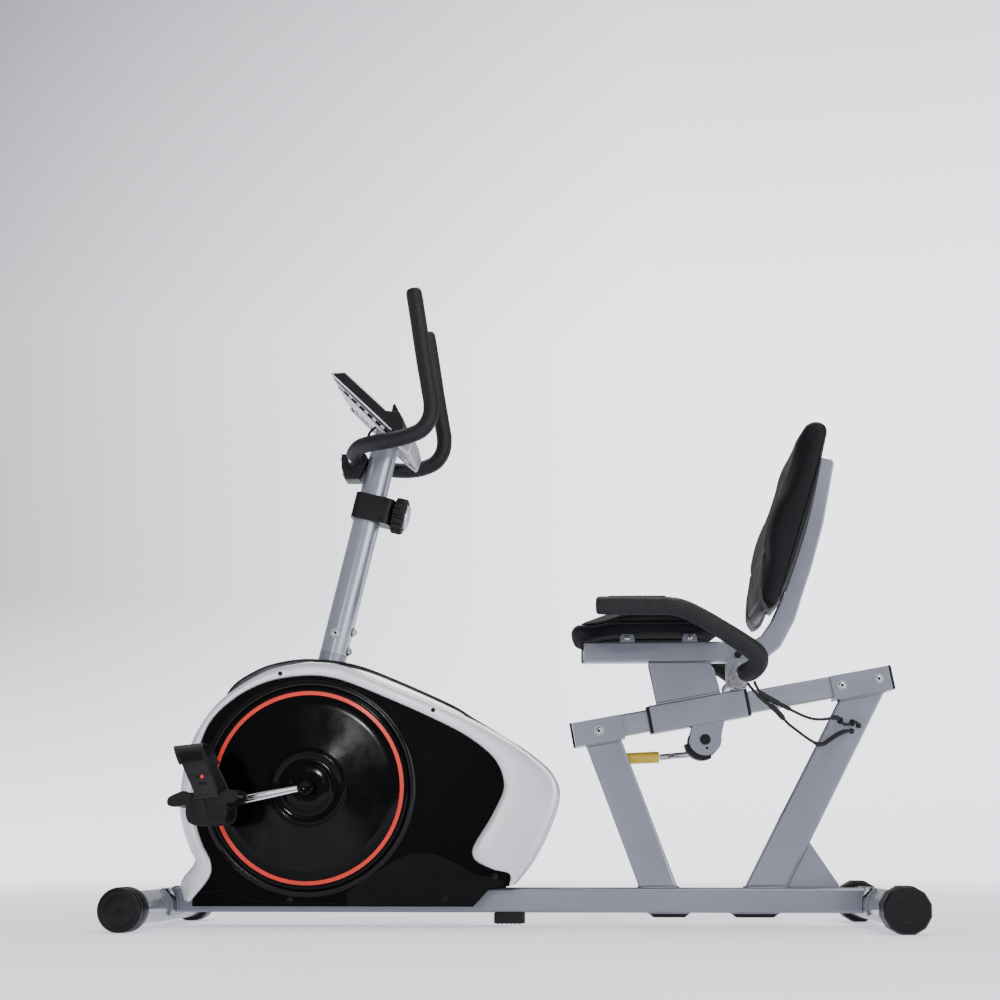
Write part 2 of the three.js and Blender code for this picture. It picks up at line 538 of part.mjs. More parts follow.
// The seat is a moulded tray and a cushion on one plan. Both sag at the nose and along the sides.
const seatPlan = smooth([[106, 0], [108, -80], [118, -140], [150, -182], [200, -197], [290, -199],
  [338, -191], [366, -164], [379, -80], [383, 0], [379, 80], [366, 164], [338, 191], [290, 199],
  [200, 197], [150, 182], [118, 140], [108, 80]], 48, true);
const ease = (a, b, x) => THREE.MathUtils.smoothstep(x, a, b);
function trayBottom(x, y) {
  const edge = ease(140, 192, Math.abs(y));
  const sag = 15 + 14 * (1 - ease(110, 270, x)) + 13 * ease(320, 380, x);
  return 540.6 - 13 * (1 - ease(104, 184, x)) - edge * sag;
}
function trayTop(x, y) {
  return 552 - 14 * (1 - ease(104, 186, x)) - 15 * ease(138, 195, Math.abs(y)) - 6 * ease(330, 384, x);
}
function cushionTop(x, y) {
  const thick = 4 + 27 * ease(140, 262, x) * (1 - ease(306, 386, x));
  return trayTop(x, y) + thick + 4 * ease(120, 0, Math.abs(y));
}
// A closed sheet between two height functions; share runs from the middle out to the plan's edge.
function moulded(plan, shares, lower, upper, rimDrop) {
  const middle = 248;
  const n = plan.length;
  const positions = [];
  const index = [];
  const layer = (height, drop) => {
    const start = positions.length / 3;
    positions.push(middle, 0, height(middle, 0));
    for (const share of shares) {
      for (const [x, y] of plan) {
        const px = middle + (x - middle) * share;
        positions.push(px, y * share, height(px, y * share) - drop(share));
      }
    }
    return start;
  };
  const low = layer(lower, () => 0);
  const high = layer(upper, rimDrop);
  const at = (start, ring, i) => start + 1 + ring * n + i % n;
  const last = shares.length - 1;
  for (let i = 0; i < n; i++) {
    index.push(high, at(high, 0, i + 1), at(high, 0, i), low, at(low, 0, i), at(low, 0, i + 1));
    for (let k = 0; k < last; k++) {
      index.push(at(high, k, i), at(high, k, i + 1), at(high, k + 1, i));
      index.push(at(high, k, i + 1), at(high, k + 1, i + 1), at(high, k + 1, i));
      index.push(at(low, k, i), at(low, k + 1, i), at(low, k, i + 1));
      index.push(at(low, k, i + 1), at(low, k + 1, i), at(low, k + 1, i + 1));
    }
    index.push(at(high, last, i), at(high, last, i + 1), at(low, last, i));
    index.push(at(high, last, i + 1), at(low, last, i + 1), at(low, last, i));
  }
  const g = new THREE.BufferGeometry();
  g.setAttribute('position', new THREE.Float32BufferAttribute(positions, 3));
  g.setIndex(index);
  return weld(g);
}
const SHARES = [0.45, 0.65, 0.78, 0.88, 0.95, 1];
add('seat_tray', moulded(seatPlan, SHARES, trayBottom, trayTop, () => 0), 'black');
const above = (x, y) => trayTop(x, y) + GAP;
const rounded = (share) => 320 * Math.max(0, share - 0.9) ** 2;
add('seat_cushion', moulded(seatPlan, SHARES, above, cushionTop, rounded), 'vinyl');

add('back_board', sidePrism([[572.5, 872], [553, 783], [530, 700], [497, 607], [481, 573], [470, 577],
  [485, 612], [518, 705], [541, 787], [560.5, 875]], -112, 112), 'black');
const backSide = smooth([[559.5, 876.5], [562, 884], [566, 895], [563, 906], [552, 911.5], [539, 909.5],
  [530, 899], [514, 842], [496, 792], [478, 753], [465, 712], [459, 680], [456, 650], [448, 615], [443, 582],
  [450, 565], [460, 563], [469, 584], [483, 612.6], [516.5, 705.6], [539.5, 787.6], [555, 855]], 36, true);
add('back_cushion', sidePrism(backSide, -BACK_HALF, BACK_HALF, 10, 2), 'vinyl');

// ---------------------------------------------------------------- side handles and seat lock
const sideBar = curveOf([[152, -232, 565], [200, -232, 565], [250, -232, 564], [280, -232, 563],
  [306, -232, 557], [341, -232, 539], [376, -232, 517], [400, -232, 501], [420, -231, 487],
  [431, -227, 477], [434, -219, 467], [430, -206, 458], [422, -190, 452], [412, -174, 450]]);
const sideGrip = tube(sideBar, GRIP_R, 22);
add('side_grip_left', sideGrip, 'foam');
add('side_grip_right', mirrorY(sideGrip), 'foam');
add('handle_crossbar', rodY(CROSS.x, CROSS.z, CROSS.r, -158, 158, 32), 'chrome');
const rodCurve = curveOf([[LOCK.x - 12, 11, 322], [318, 14.5, 316], [300, 26, 315], [286, 37, 314],
  [270, 42, 313]]);
const cam = join(rodY(LOCK.x - 3, LOCK.z - 4.5, 29, -20.8, 20.8, 28),
  rodY(LOCK.x, LOCK.z, 6, -28, 28, 24), tube(rodCurve, 5.4, 12, 10));
add('lock_lever', cam, 'black');
const gripEnd = span(curveOf([[268.2, 43.5, 313], [240, 44, 312], [196, 45, 310]]), 0, 1, 8);
add('lock_grip', tube(gripEnd, 10.5, 10), 'yellow');

// ---------------------------------------------------------------- pulse leads
const leadA = [[429, -187, 433], [432, -180, 428], [438, -172, 419], [447, -165, 411], [463, -157, 403],
  [480, -149, 395], [499, -140, 386], [510, -135, 381], [520, -130, 377], [535, -120, 373],
  [549, -110, 372], [566, -92, 374], [580, -74, 378], [590, -60, 378], [598, -50, 372], [607, -44, 367],
  [616, -38, 369], [625, -31, 373], [632, -25, 370], [634, -19.7, 367]];
const leadB = [[418, -180, 431], [424, -174, 424], [436, -168, 412], [452, -160, 399], [470, -150, 385],
  [481, -146, 373], [493, -140, 361], [508, -128, 351], [522, -115, 342], [537, -100, 334],
  [550, -86, 329], [561, -76, 330], [571, -66, 336], [582, -56, 343], [594, -46, 350], [606, -36, 355],
  [615, -28, 357], [621, -19.7, 357]];
add('pulse_lead_a', tube(curveOf(leadA), 2.6, 30, 8), 'rubber');
add('pulse_lead_b', tube(curveOf(leadB), 2.6, 28, 8), 'rubber');

export default group;
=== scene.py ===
"""Looks of the recumbent exercise bike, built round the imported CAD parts."""
import bpy
import bmesh
import json
from math import copysign, cos, exp, pi, radians, sin, tau
from mathutils import Matrix, Vector


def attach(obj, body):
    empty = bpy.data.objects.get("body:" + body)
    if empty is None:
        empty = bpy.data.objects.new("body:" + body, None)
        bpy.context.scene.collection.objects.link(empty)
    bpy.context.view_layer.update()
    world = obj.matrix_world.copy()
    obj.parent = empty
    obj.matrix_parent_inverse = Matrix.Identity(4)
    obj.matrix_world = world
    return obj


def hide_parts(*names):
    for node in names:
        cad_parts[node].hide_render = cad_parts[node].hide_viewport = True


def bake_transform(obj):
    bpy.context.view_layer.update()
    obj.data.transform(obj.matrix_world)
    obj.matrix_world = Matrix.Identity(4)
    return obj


MM = 0.001
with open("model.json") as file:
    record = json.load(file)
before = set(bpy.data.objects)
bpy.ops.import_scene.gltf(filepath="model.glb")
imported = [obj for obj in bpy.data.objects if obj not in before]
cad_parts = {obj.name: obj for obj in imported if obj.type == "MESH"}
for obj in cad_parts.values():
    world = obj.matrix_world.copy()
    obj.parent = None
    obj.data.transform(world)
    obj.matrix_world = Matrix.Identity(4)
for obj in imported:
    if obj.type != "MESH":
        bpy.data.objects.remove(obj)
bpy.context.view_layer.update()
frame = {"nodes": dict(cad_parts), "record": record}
nodes = frame["nodes"]

# Driving dimensions, in millimetres, shared with the CAD part.
CRANK = (-380.0, 253.0)
CRANK_ANGLE = 11.0
CRANK_LENGTH = 165.0
RAIL = (400.0, 405.6, 10.1)
MAST = (-326.0, 600.0, 13.3)
LOCK = (351.0, 342.0)


# ------------------------------------------------------------------ materials
class Graph:
    """A principled material with a few helpers for procedural detail."""

    def __init__(self, name):
        self.mat = bpy.data.materials.new(name)
        self.mat.use_nodes = True
        self.tree = self.mat.node_tree
        self.bsdf = self.tree.nodes["Principled BSDF"]
        self.coord = self.node("ShaderNodeTexCoord").outputs["Object"]

    def node(self, kind, **props):
        n = self.tree.nodes.new(kind)
        for key, value in props.items():
            setattr(n, key, value)
        return n

    def link(self, a, b):
        self.tree.links.new(a, b)

    def stretched(self, scale, turn=(0, 0, 0)):
        n = self.node("ShaderNodeMapping")
        n.inputs["Scale"].default_value = scale
        n.inputs["Rotation"].default_value = turn
        self.link(self.coord, n.inputs["Vector"])
        return n.outputs["Vector"]

    def noise(self, scale, detail=4.0, rough=0.55, vector=None):
        n = self.node("ShaderNodeTexNoise")
        n.inputs["Scale"].default_value = scale
        n.inputs["Detail"].default_value = detail
        n.inputs["Roughness"].default_value = rough
        self.link(vector or self.coord, n.inputs["Vector"])
        return n.outputs["Fac"]

    def cells(self, scale, feature="F1", out="Distance"):
        n = self.node("ShaderNodeTexVoronoi", feature=feature)
        n.inputs["Scale"].default_value = scale
        self.link(self.coord, n.inputs["Vector"])
        return n.outputs[out]

    def span(self, value, low, high, lo_in=0.3, hi_in=0.7):
        n = self.node("ShaderNodeMapRange")
        n.inputs["From Min"].default_value = lo_in
        n.inputs["From Max"].default_value = hi_in
        n.inputs["To Min"].default_value = low
        n.inputs["To Max"].default_value = high
        self.link(value, n.inputs["Value"])
        return n.outputs["Result"]

    def mix(self, fac, a, b):
        n = self.node("ShaderNodeMix", data_type="RGBA")
        self.link(fac, n.inputs[0])
        for socket, value in ((n.inputs[6], a), (n.inputs[7], b)):
            if isinstance(value, tuple):
                socket.default_value = (*value, 1.0)
            else:
                self.link(value, socket)
        return n.outputs[2]

    def bump(self, height, strength, distance):
        n = self.node("ShaderNodeBump")
        n.inputs["Strength"].default_value = strength
        n.inputs["Distance"].default_value = distance
        self.link(height, n.inputs["Height"])
        return n.outputs["Normal"]


def shades(color, spread):
    low = tuple(max(c * (1 - spread), 0.0) for c in color)
    high = tuple(min(c * (1 + spread), 1.0) for c in color)
    return low, high


def surface(name, color, rough, metal=0.0, coat=0.0, spread=0.12, mottle=9.0, rough_spread=0.06,
            grain=None, fleck=None, specular=0.5):
    """Mottled colour, uneven roughness and a surface grain.
    grain = (kind, scale, strength, distance); fleck = (scale, amount)."""
    g = Graph(name)
    low, high = shades(color, spread)
    tint = g.mix(g.span(g.noise(mottle, 5.0), 0.0, 1.0), low, high)
    if fleck:
        scale, amount = fleck
        spark = g.span(g.cells(scale, out="Color"), 0.0, amount, 0.55, 1.0)
        tint = g.mix(spark, tint, tuple(min(c * 1.9 + 0.05, 1.0) for c in color))
    g.link(tint, g.bsdf.inputs["Base Color"])
    worn = g.span(g.noise(mottle * 4.3, 6.0), max(rough - rough_spread, 0.03), min(rough + rough_spread, 1.0))
    g.link(worn, g.bsdf.inputs["Roughness"])
    kind, scale, strength, distance = grain
    if kind == "leather":
        height = g.span(g.cells(scale, "DISTANCE_TO_EDGE"), 0.0, 1.0, 0.0, 0.22)
    else:
        height = g.cells(scale) if kind == "cells" else g.noise(scale, 4.0, 0.6)
    g.link(g.bump(height, strength, distance), g.bsdf.inputs["Normal"])
    g.bsdf.inputs["Metallic"].default_value = metal
    g.bsdf.inputs["Coat Weight"].default_value = coat
    g.bsdf.inputs["Coat Roughness"].default_value = 0.1
    g.bsdf.inputs["Specular IOR Level"].default_value = specular
    return g.mat


def plastic(name, color, rough, spread, mottle, rough_spread, grain, specular):
    """A surface with neither metal nor a clear coat."""
    return surface(name, color, rough, 0.0, 0.0, spread, mottle, rough_spread, grain, None, specular)


def striped_screen():
    """Dull display glass with faint rows of segments."""
    g = Graph("display_glass")
    wave = g.node("ShaderNodeTexWave", wave_type="BANDS", bands_direction="Y")
    wave.inputs["Scale"].default_value = 18.0
    g.link(g.coord, wave.inputs["Vector"])
    rows = g.span(wave.outputs["Fac"], 0.0, 0.35, 0.75, 0.95)
    base = g.mix(g.span(g.noise(30.0), 0.0, 1.0), (0.10, 0.13, 0.11), (0.14, 0.18, 0.15))
    g.link(g.mix(rows, base, (0.03, 0.04, 0.035)), g.bsdf.inputs["Base Color"])
    g.link(g.span(g.noise(60.0), 0.08, 0.2), g.bsdf.inputs["Roughness"])
    g.bsdf.inputs["Coat Weight"].default_value = 0.6
    return g.mat


def steel_grease_and_floor_sheen():
    """Drawn rail steel with scuffs along the rail; faces that point down turn lighter and yellow, partly a film of
    grease and partly a painted reflection of the floor.
    """
    g = Graph("rail_steel")
    turn = (0, radians(RAIL[2]), 0)
    lines = g.noise(1.0, 4.0, 0.6, g.stretched((14.0, 420.0, 420.0), turn))
    steel = g.mix(g.span(lines, 0.0, 1.0), (0.21, 0.22, 0.25), (0.25, 0.26, 0.30))
    geometry = g.node("ShaderNodeNewGeometry")
    split = g.node("ShaderNodeSeparateXYZ")
    g.link(geometry.outputs["Normal"], split.inputs["Vector"])
    # Downward faces: a film of grease, together with painted light that stands for the floor's reflection on the
    # underside.
    grease_and_sheen_under = g.span(split.outputs["Z"], 1.0, 0.0, -0.95, -0.7)
    grease_and_sheen_patch = g.node("ShaderNodeMath", operation="MULTIPLY")
    g.link(grease_and_sheen_under, grease_and_sheen_patch.inputs[0])
    g.link(g.span(g.noise(16.0, 5.0), 0.35, 0.9), grease_and_sheen_patch.inputs[1])
    g.link(g.mix(grease_and_sheen_patch.outputs["Value"], steel, (0.50, 0.47, 0.30)), g.bsdf.inputs["Base Color"])
    g.link(g.span(lines, 0.3, 0.45), g.bsdf.inputs["Roughness"])
    g.link(g.bump(lines, 0.08, 0.0002), g.bsdf.inputs["Normal"])
    g.bsdf.inputs["Metallic"].default_value = 0.55
    return g.mat


PAINT = surface("frame_paint", (0.205, 0.214, 0.255), 0.34, 0.6, 0.25, 0.06, 5.0, 0.05,
                ("noise", 900.0, 0.06, 0.0002), (2600.0, 0.25))
MAST_PAINT = surface("mast_paint", (0.27, 0.285, 0.33), 0.24, 0.6, 0.5, 0.06, 5.0, 0.04,
                     ("noise", 900.0, 0.05, 0.0002), (2600.0, 0.22))
SILVER = surface("shroud_silver", (0.66, 0.67, 0.70), 0.33, 0.65, 0.2, 0.05, 4.0, 0.04,
                 ("noise", 1400.0, 0.08, 0.0002), (3000.0, 0.2))
SATIN = plastic("black_plastic", (0.0048, 0.0048, 0.0058), 0.42, 0.25, 7.0, 0.08, ("noise", 1500.0, 0.25, 0.0002),
                0.2)
TRAY = plastic("moulded_shell", (0.006, 0.006, 0.0075), 0.85, 0.2, 7.0, 0.05, ("noise", 1500.0, 0.2, 0.0002), 0.06)
LEDGE = plastic("ledge_plastic", (0.0026, 0.0026, 0.0034), 0.4, 0.25, 7.0, 0.08, ("noise", 1500.0, 0.25, 0.0002),
                0.09)
PANEL = plastic("panel_black", (0.0016, 0.0016, 0.0019), 0.34, 0.3, 5.0, 0.06, ("noise", 1800.0, 0.12, 0.0002),
                0.04)
GLOSS = plastic("gloss_black", (0.0014, 0.0014, 0.0018), 0.085, 0.3, 5.0, 0.04, ("noise", 60.0, 0.02, 0.0002), 0.1)
GROOVE = plastic("groove_black", (0.002, 0.002, 0.003), 0.14, 0.3, 5.0, 0.04, ("noise", 60.0, 0.02, 0.0002), 0.2)
RED = surface("red_ring", (0.66, 0.03, 0.012), 0.34, 0.0, 0.2, 0.12, 14.0, 0.05, ("noise", 900.0, 0.05, 0.0002),
              None, 0.3)
RUBBER = plastic("rubber", (0.0055, 0.0055, 0.0062), 0.6, 0.3, 16.0, 0.08, ("noise", 2200.0, 0.5, 0.0003), 0.3)
STRAP = plastic("strap_rubber", (0.0055, 0.0055, 0.0066), 0.5, 0.3, 12.0, 0.08, ("noise", 1200.0, 0.3, 0.0003), 0.3)
FOAM = plastic("grip_foam", (0.0058, 0.0058, 0.0070), 0.52, 0.28, 14.0, 0.09, ("cells", 1500.0, 0.3, 0.0003), 0.26)
VINYL = plastic("vinyl", (0.0048, 0.0050, 0.0062), 0.46, 0.25, 8.0, 0.07, ("leather", 420.0, 0.18, 0.0004), 0.12)
CHROME = surface("chrome", (0.72, 0.73, 0.75), 0.12, 1.0, 0.0, 0.05, 12.0, 0.05, ("noise", 300.0, 0.02, 0.0002))
ZINC = surface("zinc", (0.50, 0.50, 0.52), 0.25, 1.0, 0.0, 0.14, 60.0, 0.08, ("noise", 900.0, 0.1, 0.0002))
CLAMP = surface("clamp_steel", (0.66, 0.67, 0.69), 0.2, 1.0, 0.0, 0.05, 12.0, 0.05, ("noise", 300.0, 0.02, 0.0001))
BAR_STEEL = surface("bar_steel", (0.34, 0.345, 0.36), 0.42, 0.8, 0.0, 0.08, 12.0, 0.05,
                    ("noise", 600.0, 0.05, 0.0001))
IRON = surface("turned_iron", (0.12, 0.12, 0.125), 0.38, 0.9, 0.0, 0.2, 20.0, 0.1, ("noise", 260.0, 0.2, 0.0004))
STEEL = steel_grease_and_floor_sheen()
YELLOW = surface("dipped_yellow", (0.60, 0.43, 0.03), 0.42, 0.0, 0.15, 0.1, 30.0, 0.07,
                 ("noise", 700.0, 0.15, 0.0004))
# Painted shade: a near-black laid in holes, slots, grooves, wells and gaps to stand for the shade inside them.
PAINTED_SHADE = plastic("recess", (0.003, 0.003, 0.0035), 0.6, 0.3, 30.0, 0.1, ("noise", 900.0, 0.2, 0.0002), 0.2)
AMBER = surface("reflector", (0.45, 0.40, 0.30), 0.2, 0.0, 0.5, 0.15, 60.0, 0.05, ("cells", 700.0, 0.5, 0.0004))
PRINT = plastic("pale_print", (0.42, 0.43, 0.45), 0.5, 0.1, 60.0, 0.06, ("noise", 900.0, 0.05, 0.0001), 0.5)
KEY = plastic("key_rubber", (0.45, 0.04, 0.03), 0.45, 0.12, 60.0, 0.06, ("noise", 1600.0, 0.2, 0.0002), 0.5)
SCREEN = striped_screen()


# ------------------------------------------------------------------ mesh tools
def spline(points, count, closed=False):
    """Evenly spaced points on a Catmull-Rom curve."""
    pts = [Vector(p) for p in points]
    n = len(pts)
    spans = n if closed else n - 1
    dense = []
    for i in range(spans):
        if closed:
            p0, p1, p2, p3 = (pts[(i + k) % n] for k in (-1, 0, 1, 2))
        else:
            p0, p1, p2, p3 = pts[max(i - 1, 0)], pts[i], pts[i + 1], pts[min(i + 2, n - 1)]
        for k in range(16):
            t = k / 16
            dense.append(0.5 * (2 * p1 + (p2 - p0) * t + (2 * p0 - 5 * p1 + 4 * p2 - p3) * t * t
                                + (3 * p1 - p0 - 3 * p2 + p3) * t ** 3))
    dense.append(pts[0].copy() if closed else pts[-1].copy())
    run = [0.0]
    for a, b in zip(dense, dense[1:]):
        run.append(run[-1] + (b - a).length)
    out = []
    j = 0
    steps = count if closed else count - 1
    for i in range(count):
        want = run[-1] * i / steps
        while j < len(run) - 2 and run[j + 1] < want:
            j += 1
        gap = max(run[j + 1] - run[j], 1e-9)
        out.append(dense[j].lerp(dense[j + 1], (want - run[j]) / gap))
    return out


def grid_faces(rows, cols, wrap_rows=False, wrap_cols=False):
    faces = []
    for i in range(rows if wrap_rows else rows - 1):
        for j in range(cols if wrap_cols else cols - 1):
            i2, j2 = (i + 1) % rows, (j + 1) % cols
            faces.append((i * cols + j, i * cols + j2, i2 * cols + j2, i2 * cols + j))
    return faces


def loft(rings, closed_ring=True, caps=True, closed_path=False):
    cols = len(rings[0])
    verts = [Vector(p) for ring in rings for p in ring]
    faces = grid_faces(len(rings), cols, closed_path, closed_ring)
    if caps and not closed_path:
        faces.append(tuple(range(cols)))
        faces.append(tuple(range(len(verts) - cols, len(verts))))
    return verts, faces


def circles(profile, segments):
    """Level circles about Z, one for each (radius, height)."""
    turns = [tau * i / segments for i in range(segments)]
    return [[(r * cos(a), r * sin(a), h) for a in turns] for r, h in profile]


def turned(profile, segments):
    """Profile of (radius, height) turned about local Z."""
    return loft(circles(profile, segments), True, profile[0] != profile[-1])


def swept(points, radius, sides=20):
    """Round sweep along points; the radius may be a function of the share of the way, 0 to 1."""
    n = len(points)
    points = [Vector(p) for p in points]
    tangents = [(points[min(i + 1, n - 1)] - points[max(i - 1, 0)]).normalized() for i in range(n)]
    side = tangents[0].cross(Vector((0.13, 0.3, 0.9))).normalized()
    rings = []
    for i, (p, t) in enumerate(zip(points, tangents)):
        side = (side - t * side.dot(t)).normalized()
        top = side.cross(t)
        r = radius(i / (n - 1)) if callable(radius) else radius
        rings.append([p + (side * cos(tau * k / sides) + top * sin(tau * k / sides)) * r
                      for k in range(sides)])
    return loft(rings)


def slab(outline, y0, y1):
    """Side outline (x, z) run from y0 to y1."""
    n = len(outline)
    verts = [Vector((x, y0, z)) for x, z in outline] + [Vector((x, y1, z)) for x, z in outline]
    faces = [tuple(range(n)), tuple(range(2 * n - 1, n - 1, -1))]
    faces += [(i, n + i, n + (i + 1) % n, (i + 1) % n) for i in range(n)]
    return verts, faces


def brick(x0, x1, y0, y1, z0, z1):
    return slab([(x0, z0), (x1, z0), (x1, z1), (x0, z1)], y0, y1)


def moved(data, origin=(0, 0, 0), axis=(0, 0, 1), roll=0.0):
    """Put local +Z along axis at origin."""
    verts, faces = data
    turn = Vector((0, 0, 1)).rotation_difference(Vector(axis).normalized()).to_matrix()
    turn = turn @ Matrix.Rotation(radians(roll), 3, "Z")
    o = Vector(origin)
    return [turn @ Vector(v) + o for v in verts], faces


def tilted(data, degrees, x, z):
    """Local side-view part: +X swings up by the angle about (x, z)."""
    verts, faces = data
    turn = Matrix.Rotation(radians(-degrees), 3, "Y")
    return [turn @ Vector(v) + Vector((x, 0, z)) for v in verts], faces


def flipped(data):
    verts, faces = data
    return [Vector((v[0], -v[1], v[2])) for v in verts], [tuple(reversed(f)) for f in faces]


def build(name, parts, mat, body, bevel=0.0, segments=2, smooth=38, stands_for=(), limit=35):
    """One object from (verts, faces) parts in millimetres, riding on a body."""
    bm = bmesh.new()
    for verts, faces in parts:
        made = [bm.verts.new(v * MM) for v in (Vector(v) for v in verts)]
        for f in faces:
            if len(set(f)) > 2:
                try:
                    bm.faces.new([made[i] for i in f])
                except ValueError:
                    pass
    bmesh.ops.remove_doubles(bm, verts=bm.verts, dist=2e-6)
    bmesh.ops.dissolve_degenerate(bm, dist=1e-7, edges=bm.edges)
    bmesh.ops.recalc_face_normals(bm, faces=bm.faces)
    return finish_mesh(name, bm, mat, body, bevel, segments, smooth, stands_for, limit)


def finish_mesh(name, bm, mat, body, bevel, segments, smooth, stands_for, limit=35):
    if bevel:
        edges = [e for e in bm.edges if len(e.link_faces) == 2 and e.calc_face_angle(0) > radians(limit)]
        bmesh.ops.bevel(bm, geom=edges, offset=bevel * MM, segments=segments, profile=0.5, affect="EDGES",
                        clamp_overlap=True)
    mesh = bpy.data.meshes.new(name)
    bm.to_mesh(mesh)
    bm.free()
    for poly in mesh.polygons:
        poly.use_smooth = True
    mesh.set_sharp_from_angle(angle=radians(smooth))
    obj = bpy.data.objects.new(name, mesh)
    bpy.context.scene.collection.objects.link(obj)
    mesh.materials.append(mat)
    if bevel:
        even = obj.modifiers.new("even", "WEIGHTED_NORMAL")
        even.keep_sharp = True
    if body:
        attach(obj, body)
    if stands_for:
        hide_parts(*stands_for)
    return obj


BODY_OF = {n: b for b, names in frame["record"]["behaviour"]["bodies"].items() for n in names}


def dress(mat, bevel, segments, *names):
    """A finer copy of each CAD node: rounded edges and smooth shading."""
    for node in names:
        bm = bmesh.new()
        bm.from_mesh(nodes[node].data)
        bmesh.ops.remove_doubles(bm, verts=bm.verts, dist=2e-6)
        bmesh.ops.dissolve_limit(bm, angle_limit=radians(0.6), verts=bm.verts, edges=bm.edges)
        finish_mesh(node + "_look", bm, mat, BODY_OF[node], bevel, segments, 38, (node,), 32)


def stand_in(node, parts, mat, smooth=40, bevel=0.0, segments=1, limit=35):
    """A shape of its own, shown in place of a CAD node."""
    build(node + "_look", parts, mat, BODY_OF[node], bevel, segments, smooth, (node,), limit)


# Small pieces of one material on one body are kept together and built at the end.
details = {}


def detail(body, mat, *parts):
    details.setdefault((body, mat.name), []).extend(parts)


def lathe(body, mat, profile, segments, at, axis, roll=0.0):
    """A turned detail."""
    detail(body, mat, moved(turned(profile, segments), at, axis, roll))


def build_details():
    for (body, mat), parts in details.items():
        build(f"fittings_{body}_{mat}", parts, bpy.data.materials[mat], body, 0, 1, 32)


def socket_bolt(at, axis, r, washer=True, body="frame", mat=ZINC):
    """Domed socket head, its hexagon recess with painted shade at the bottom, and a washer."""
    base = 0.0
    if washer:
        lathe(body, mat, [(0, 0), (r * 1.45, 0), (r * 1.5, 0.5), (r * 1.45, 1.4), (0, 1.4)], 32, at, axis)
        base = 1.4
    dome = [(0, base), (r, base), (r, base + r * 0.25)]
    dome += [(r * (0.5 + 0.5 * cos(radians(a))), base + r * (0.25 + 0.35 * sin(radians(a))))
             for a in (20, 40, 60, 80)]
    dome += [(r * 0.48, base + r * 0.62), (r * 0.42, base + r * 0.58), (r * 0.42, base + r * 0.2),
             (0, base + r * 0.2)]
    lathe(body, mat, dome, 32, at, axis)
    # painted shade: a dark hexagon at the bottom of the socket
    lathe(body, PAINTED_SHADE, [(0, base + r * 0.22), (r * 0.41, base + r * 0.22), (r * 0.41, base + r * 0.3),
                                     (0, base + r * 0.3)], 6, at, axis)


def hex_bolt(at, axis, r, body="frame"):
    """Hexagon head on a washer, with the end of its stud."""
    base = 1.5
    lathe(body, ZINC, [(0, 0), (r * 1.4, 0), (r * 1.45, 0.6), (r * 1.4, 1.5), (0, 1.5)], 32, at, axis)
    head = [(0, base), (r * 0.98, base), (r, base + 0.4), (r, base + r * 0.5), (r * 0.88, base + r * 0.62),
            (0, base + r * 0.64)]
    lathe(body, ZINC, head, 6, at, axis, 15)
    stud = [(0, base + r * 0.6), (r * 0.5, base + r * 0.6), (r * 0.5, base + r * 0.85), (r * 0.4, base + r * 0.95),
            (0, base + r * 0.95)]
    lathe(body, ZINC, stud, 20, at, axis)


def screw(at, axis, r):
    """Pan head with a cross recess in a shallow well; the well and the cross are painted shade."""
    # painted shade: a flat dark disc for the well round the head
    lathe("frame", PAINTED_SHADE, [(0, -0.2), (r * 1.5, -0.2), (r * 1.45, 0.25), (0, 0.25)], 24, at, axis)
    head = [(0, 0.2), (r, 0.2), (r, 0.7), (r * 0.85, 1.3), (r * 0.5, 1.7), (0, 1.8)]
    lathe("frame", GROOVE, head, 24, at, axis)
    # painted shade: dark bars in the cross recess
    for roll in (0, 90):
        detail("frame", PAINTED_SHADE, moved(brick(-r * 0.55, r * 0.55, -r * 0.1, r * 0.1, 1.4, 1.95), at, axis, roll))


def length_of(points):
    return sum((Vector(b) - Vector(a)).length for a, b in zip(points, points[1:]))


def weld_bead(points, body="frame", r=2.4):
    """A rippled bead along a seam, painted with the frame."""
    pts = spline(points, max(12, int(length_of(points) / 2.0)))
    n = len(pts)
    detail(body, PAINT, swept(pts, lambda t: r * (1 + 0.16 * sin(t * n * 1.9)), 10))


def on_rail(s, n, y=0.0):
    a = radians(RAIL[2])
    return (RAIL[0] + s * cos(a) - n * sin(a), y, RAIL[1] + s * sin(a) + n * cos(a))


def on_mast(x, y, z):
    a = radians(MAST[2])
    return (MAST[0] + x * cos(a) + z * sin(a), y, MAST[1] - x * sin(a) + z * cos(a))


def mast_axis(x, y, z):
    o, p = Vector(on_mast(0, 0, 0)), Vector(on_mast(x, y, z))
    return p - o


def mirrored(both):
    """Call a maker for the left (-1) and the right (+1) side."""
    for side, word in ((-1, "left"), (1, "right")):
        both(side, word)


def sided(data, side):
    return data if side < 0 else flipped(data)


# ------------------------------------------------------------------ feet, beam and uprights
FRONT_FOOT, REAR_FOOT = (-665, 38), (664, 40)      # x and z of the floor tubes
FOOT_END = 300
BEAM_PADS = ((241, 319), (392, 481))

FRONT_CAP = [(0, -1.2), (2.2, -1.2), (3.0, -0.6), (3.4, 0.5), (5, 0), (26, 0), (27, 0.8), (28.5, 0.8), (29.5, 0),
             (33, 0.2), (36, 1.2), (38, 3.5), (38.9, 7), (39, 12), (38.6, 12.6), (38.6, 13.6), (39, 14.2),
             (39, 54), (38.4, 57.5), (36, 60), (31, 60.2), (30.4, 59), (30.3, 8), (0, 8)]
REAR_CAP = [(0, 0.2), (19, 0.2), (19.6, 1.0), (20.4, 1.0), (21, 0.4), (34, 0.6), (36.5, 0), (38.5, 0.6),
            (41.3, 4.5), (41.5, 8), (41.5, 28), (40.6, 29), (40.6, 31), (41.5, 32), (41.5, 55), (40, 58.5),
            (37, 60), (32, 60), (31.5, 8), (0, 8)]


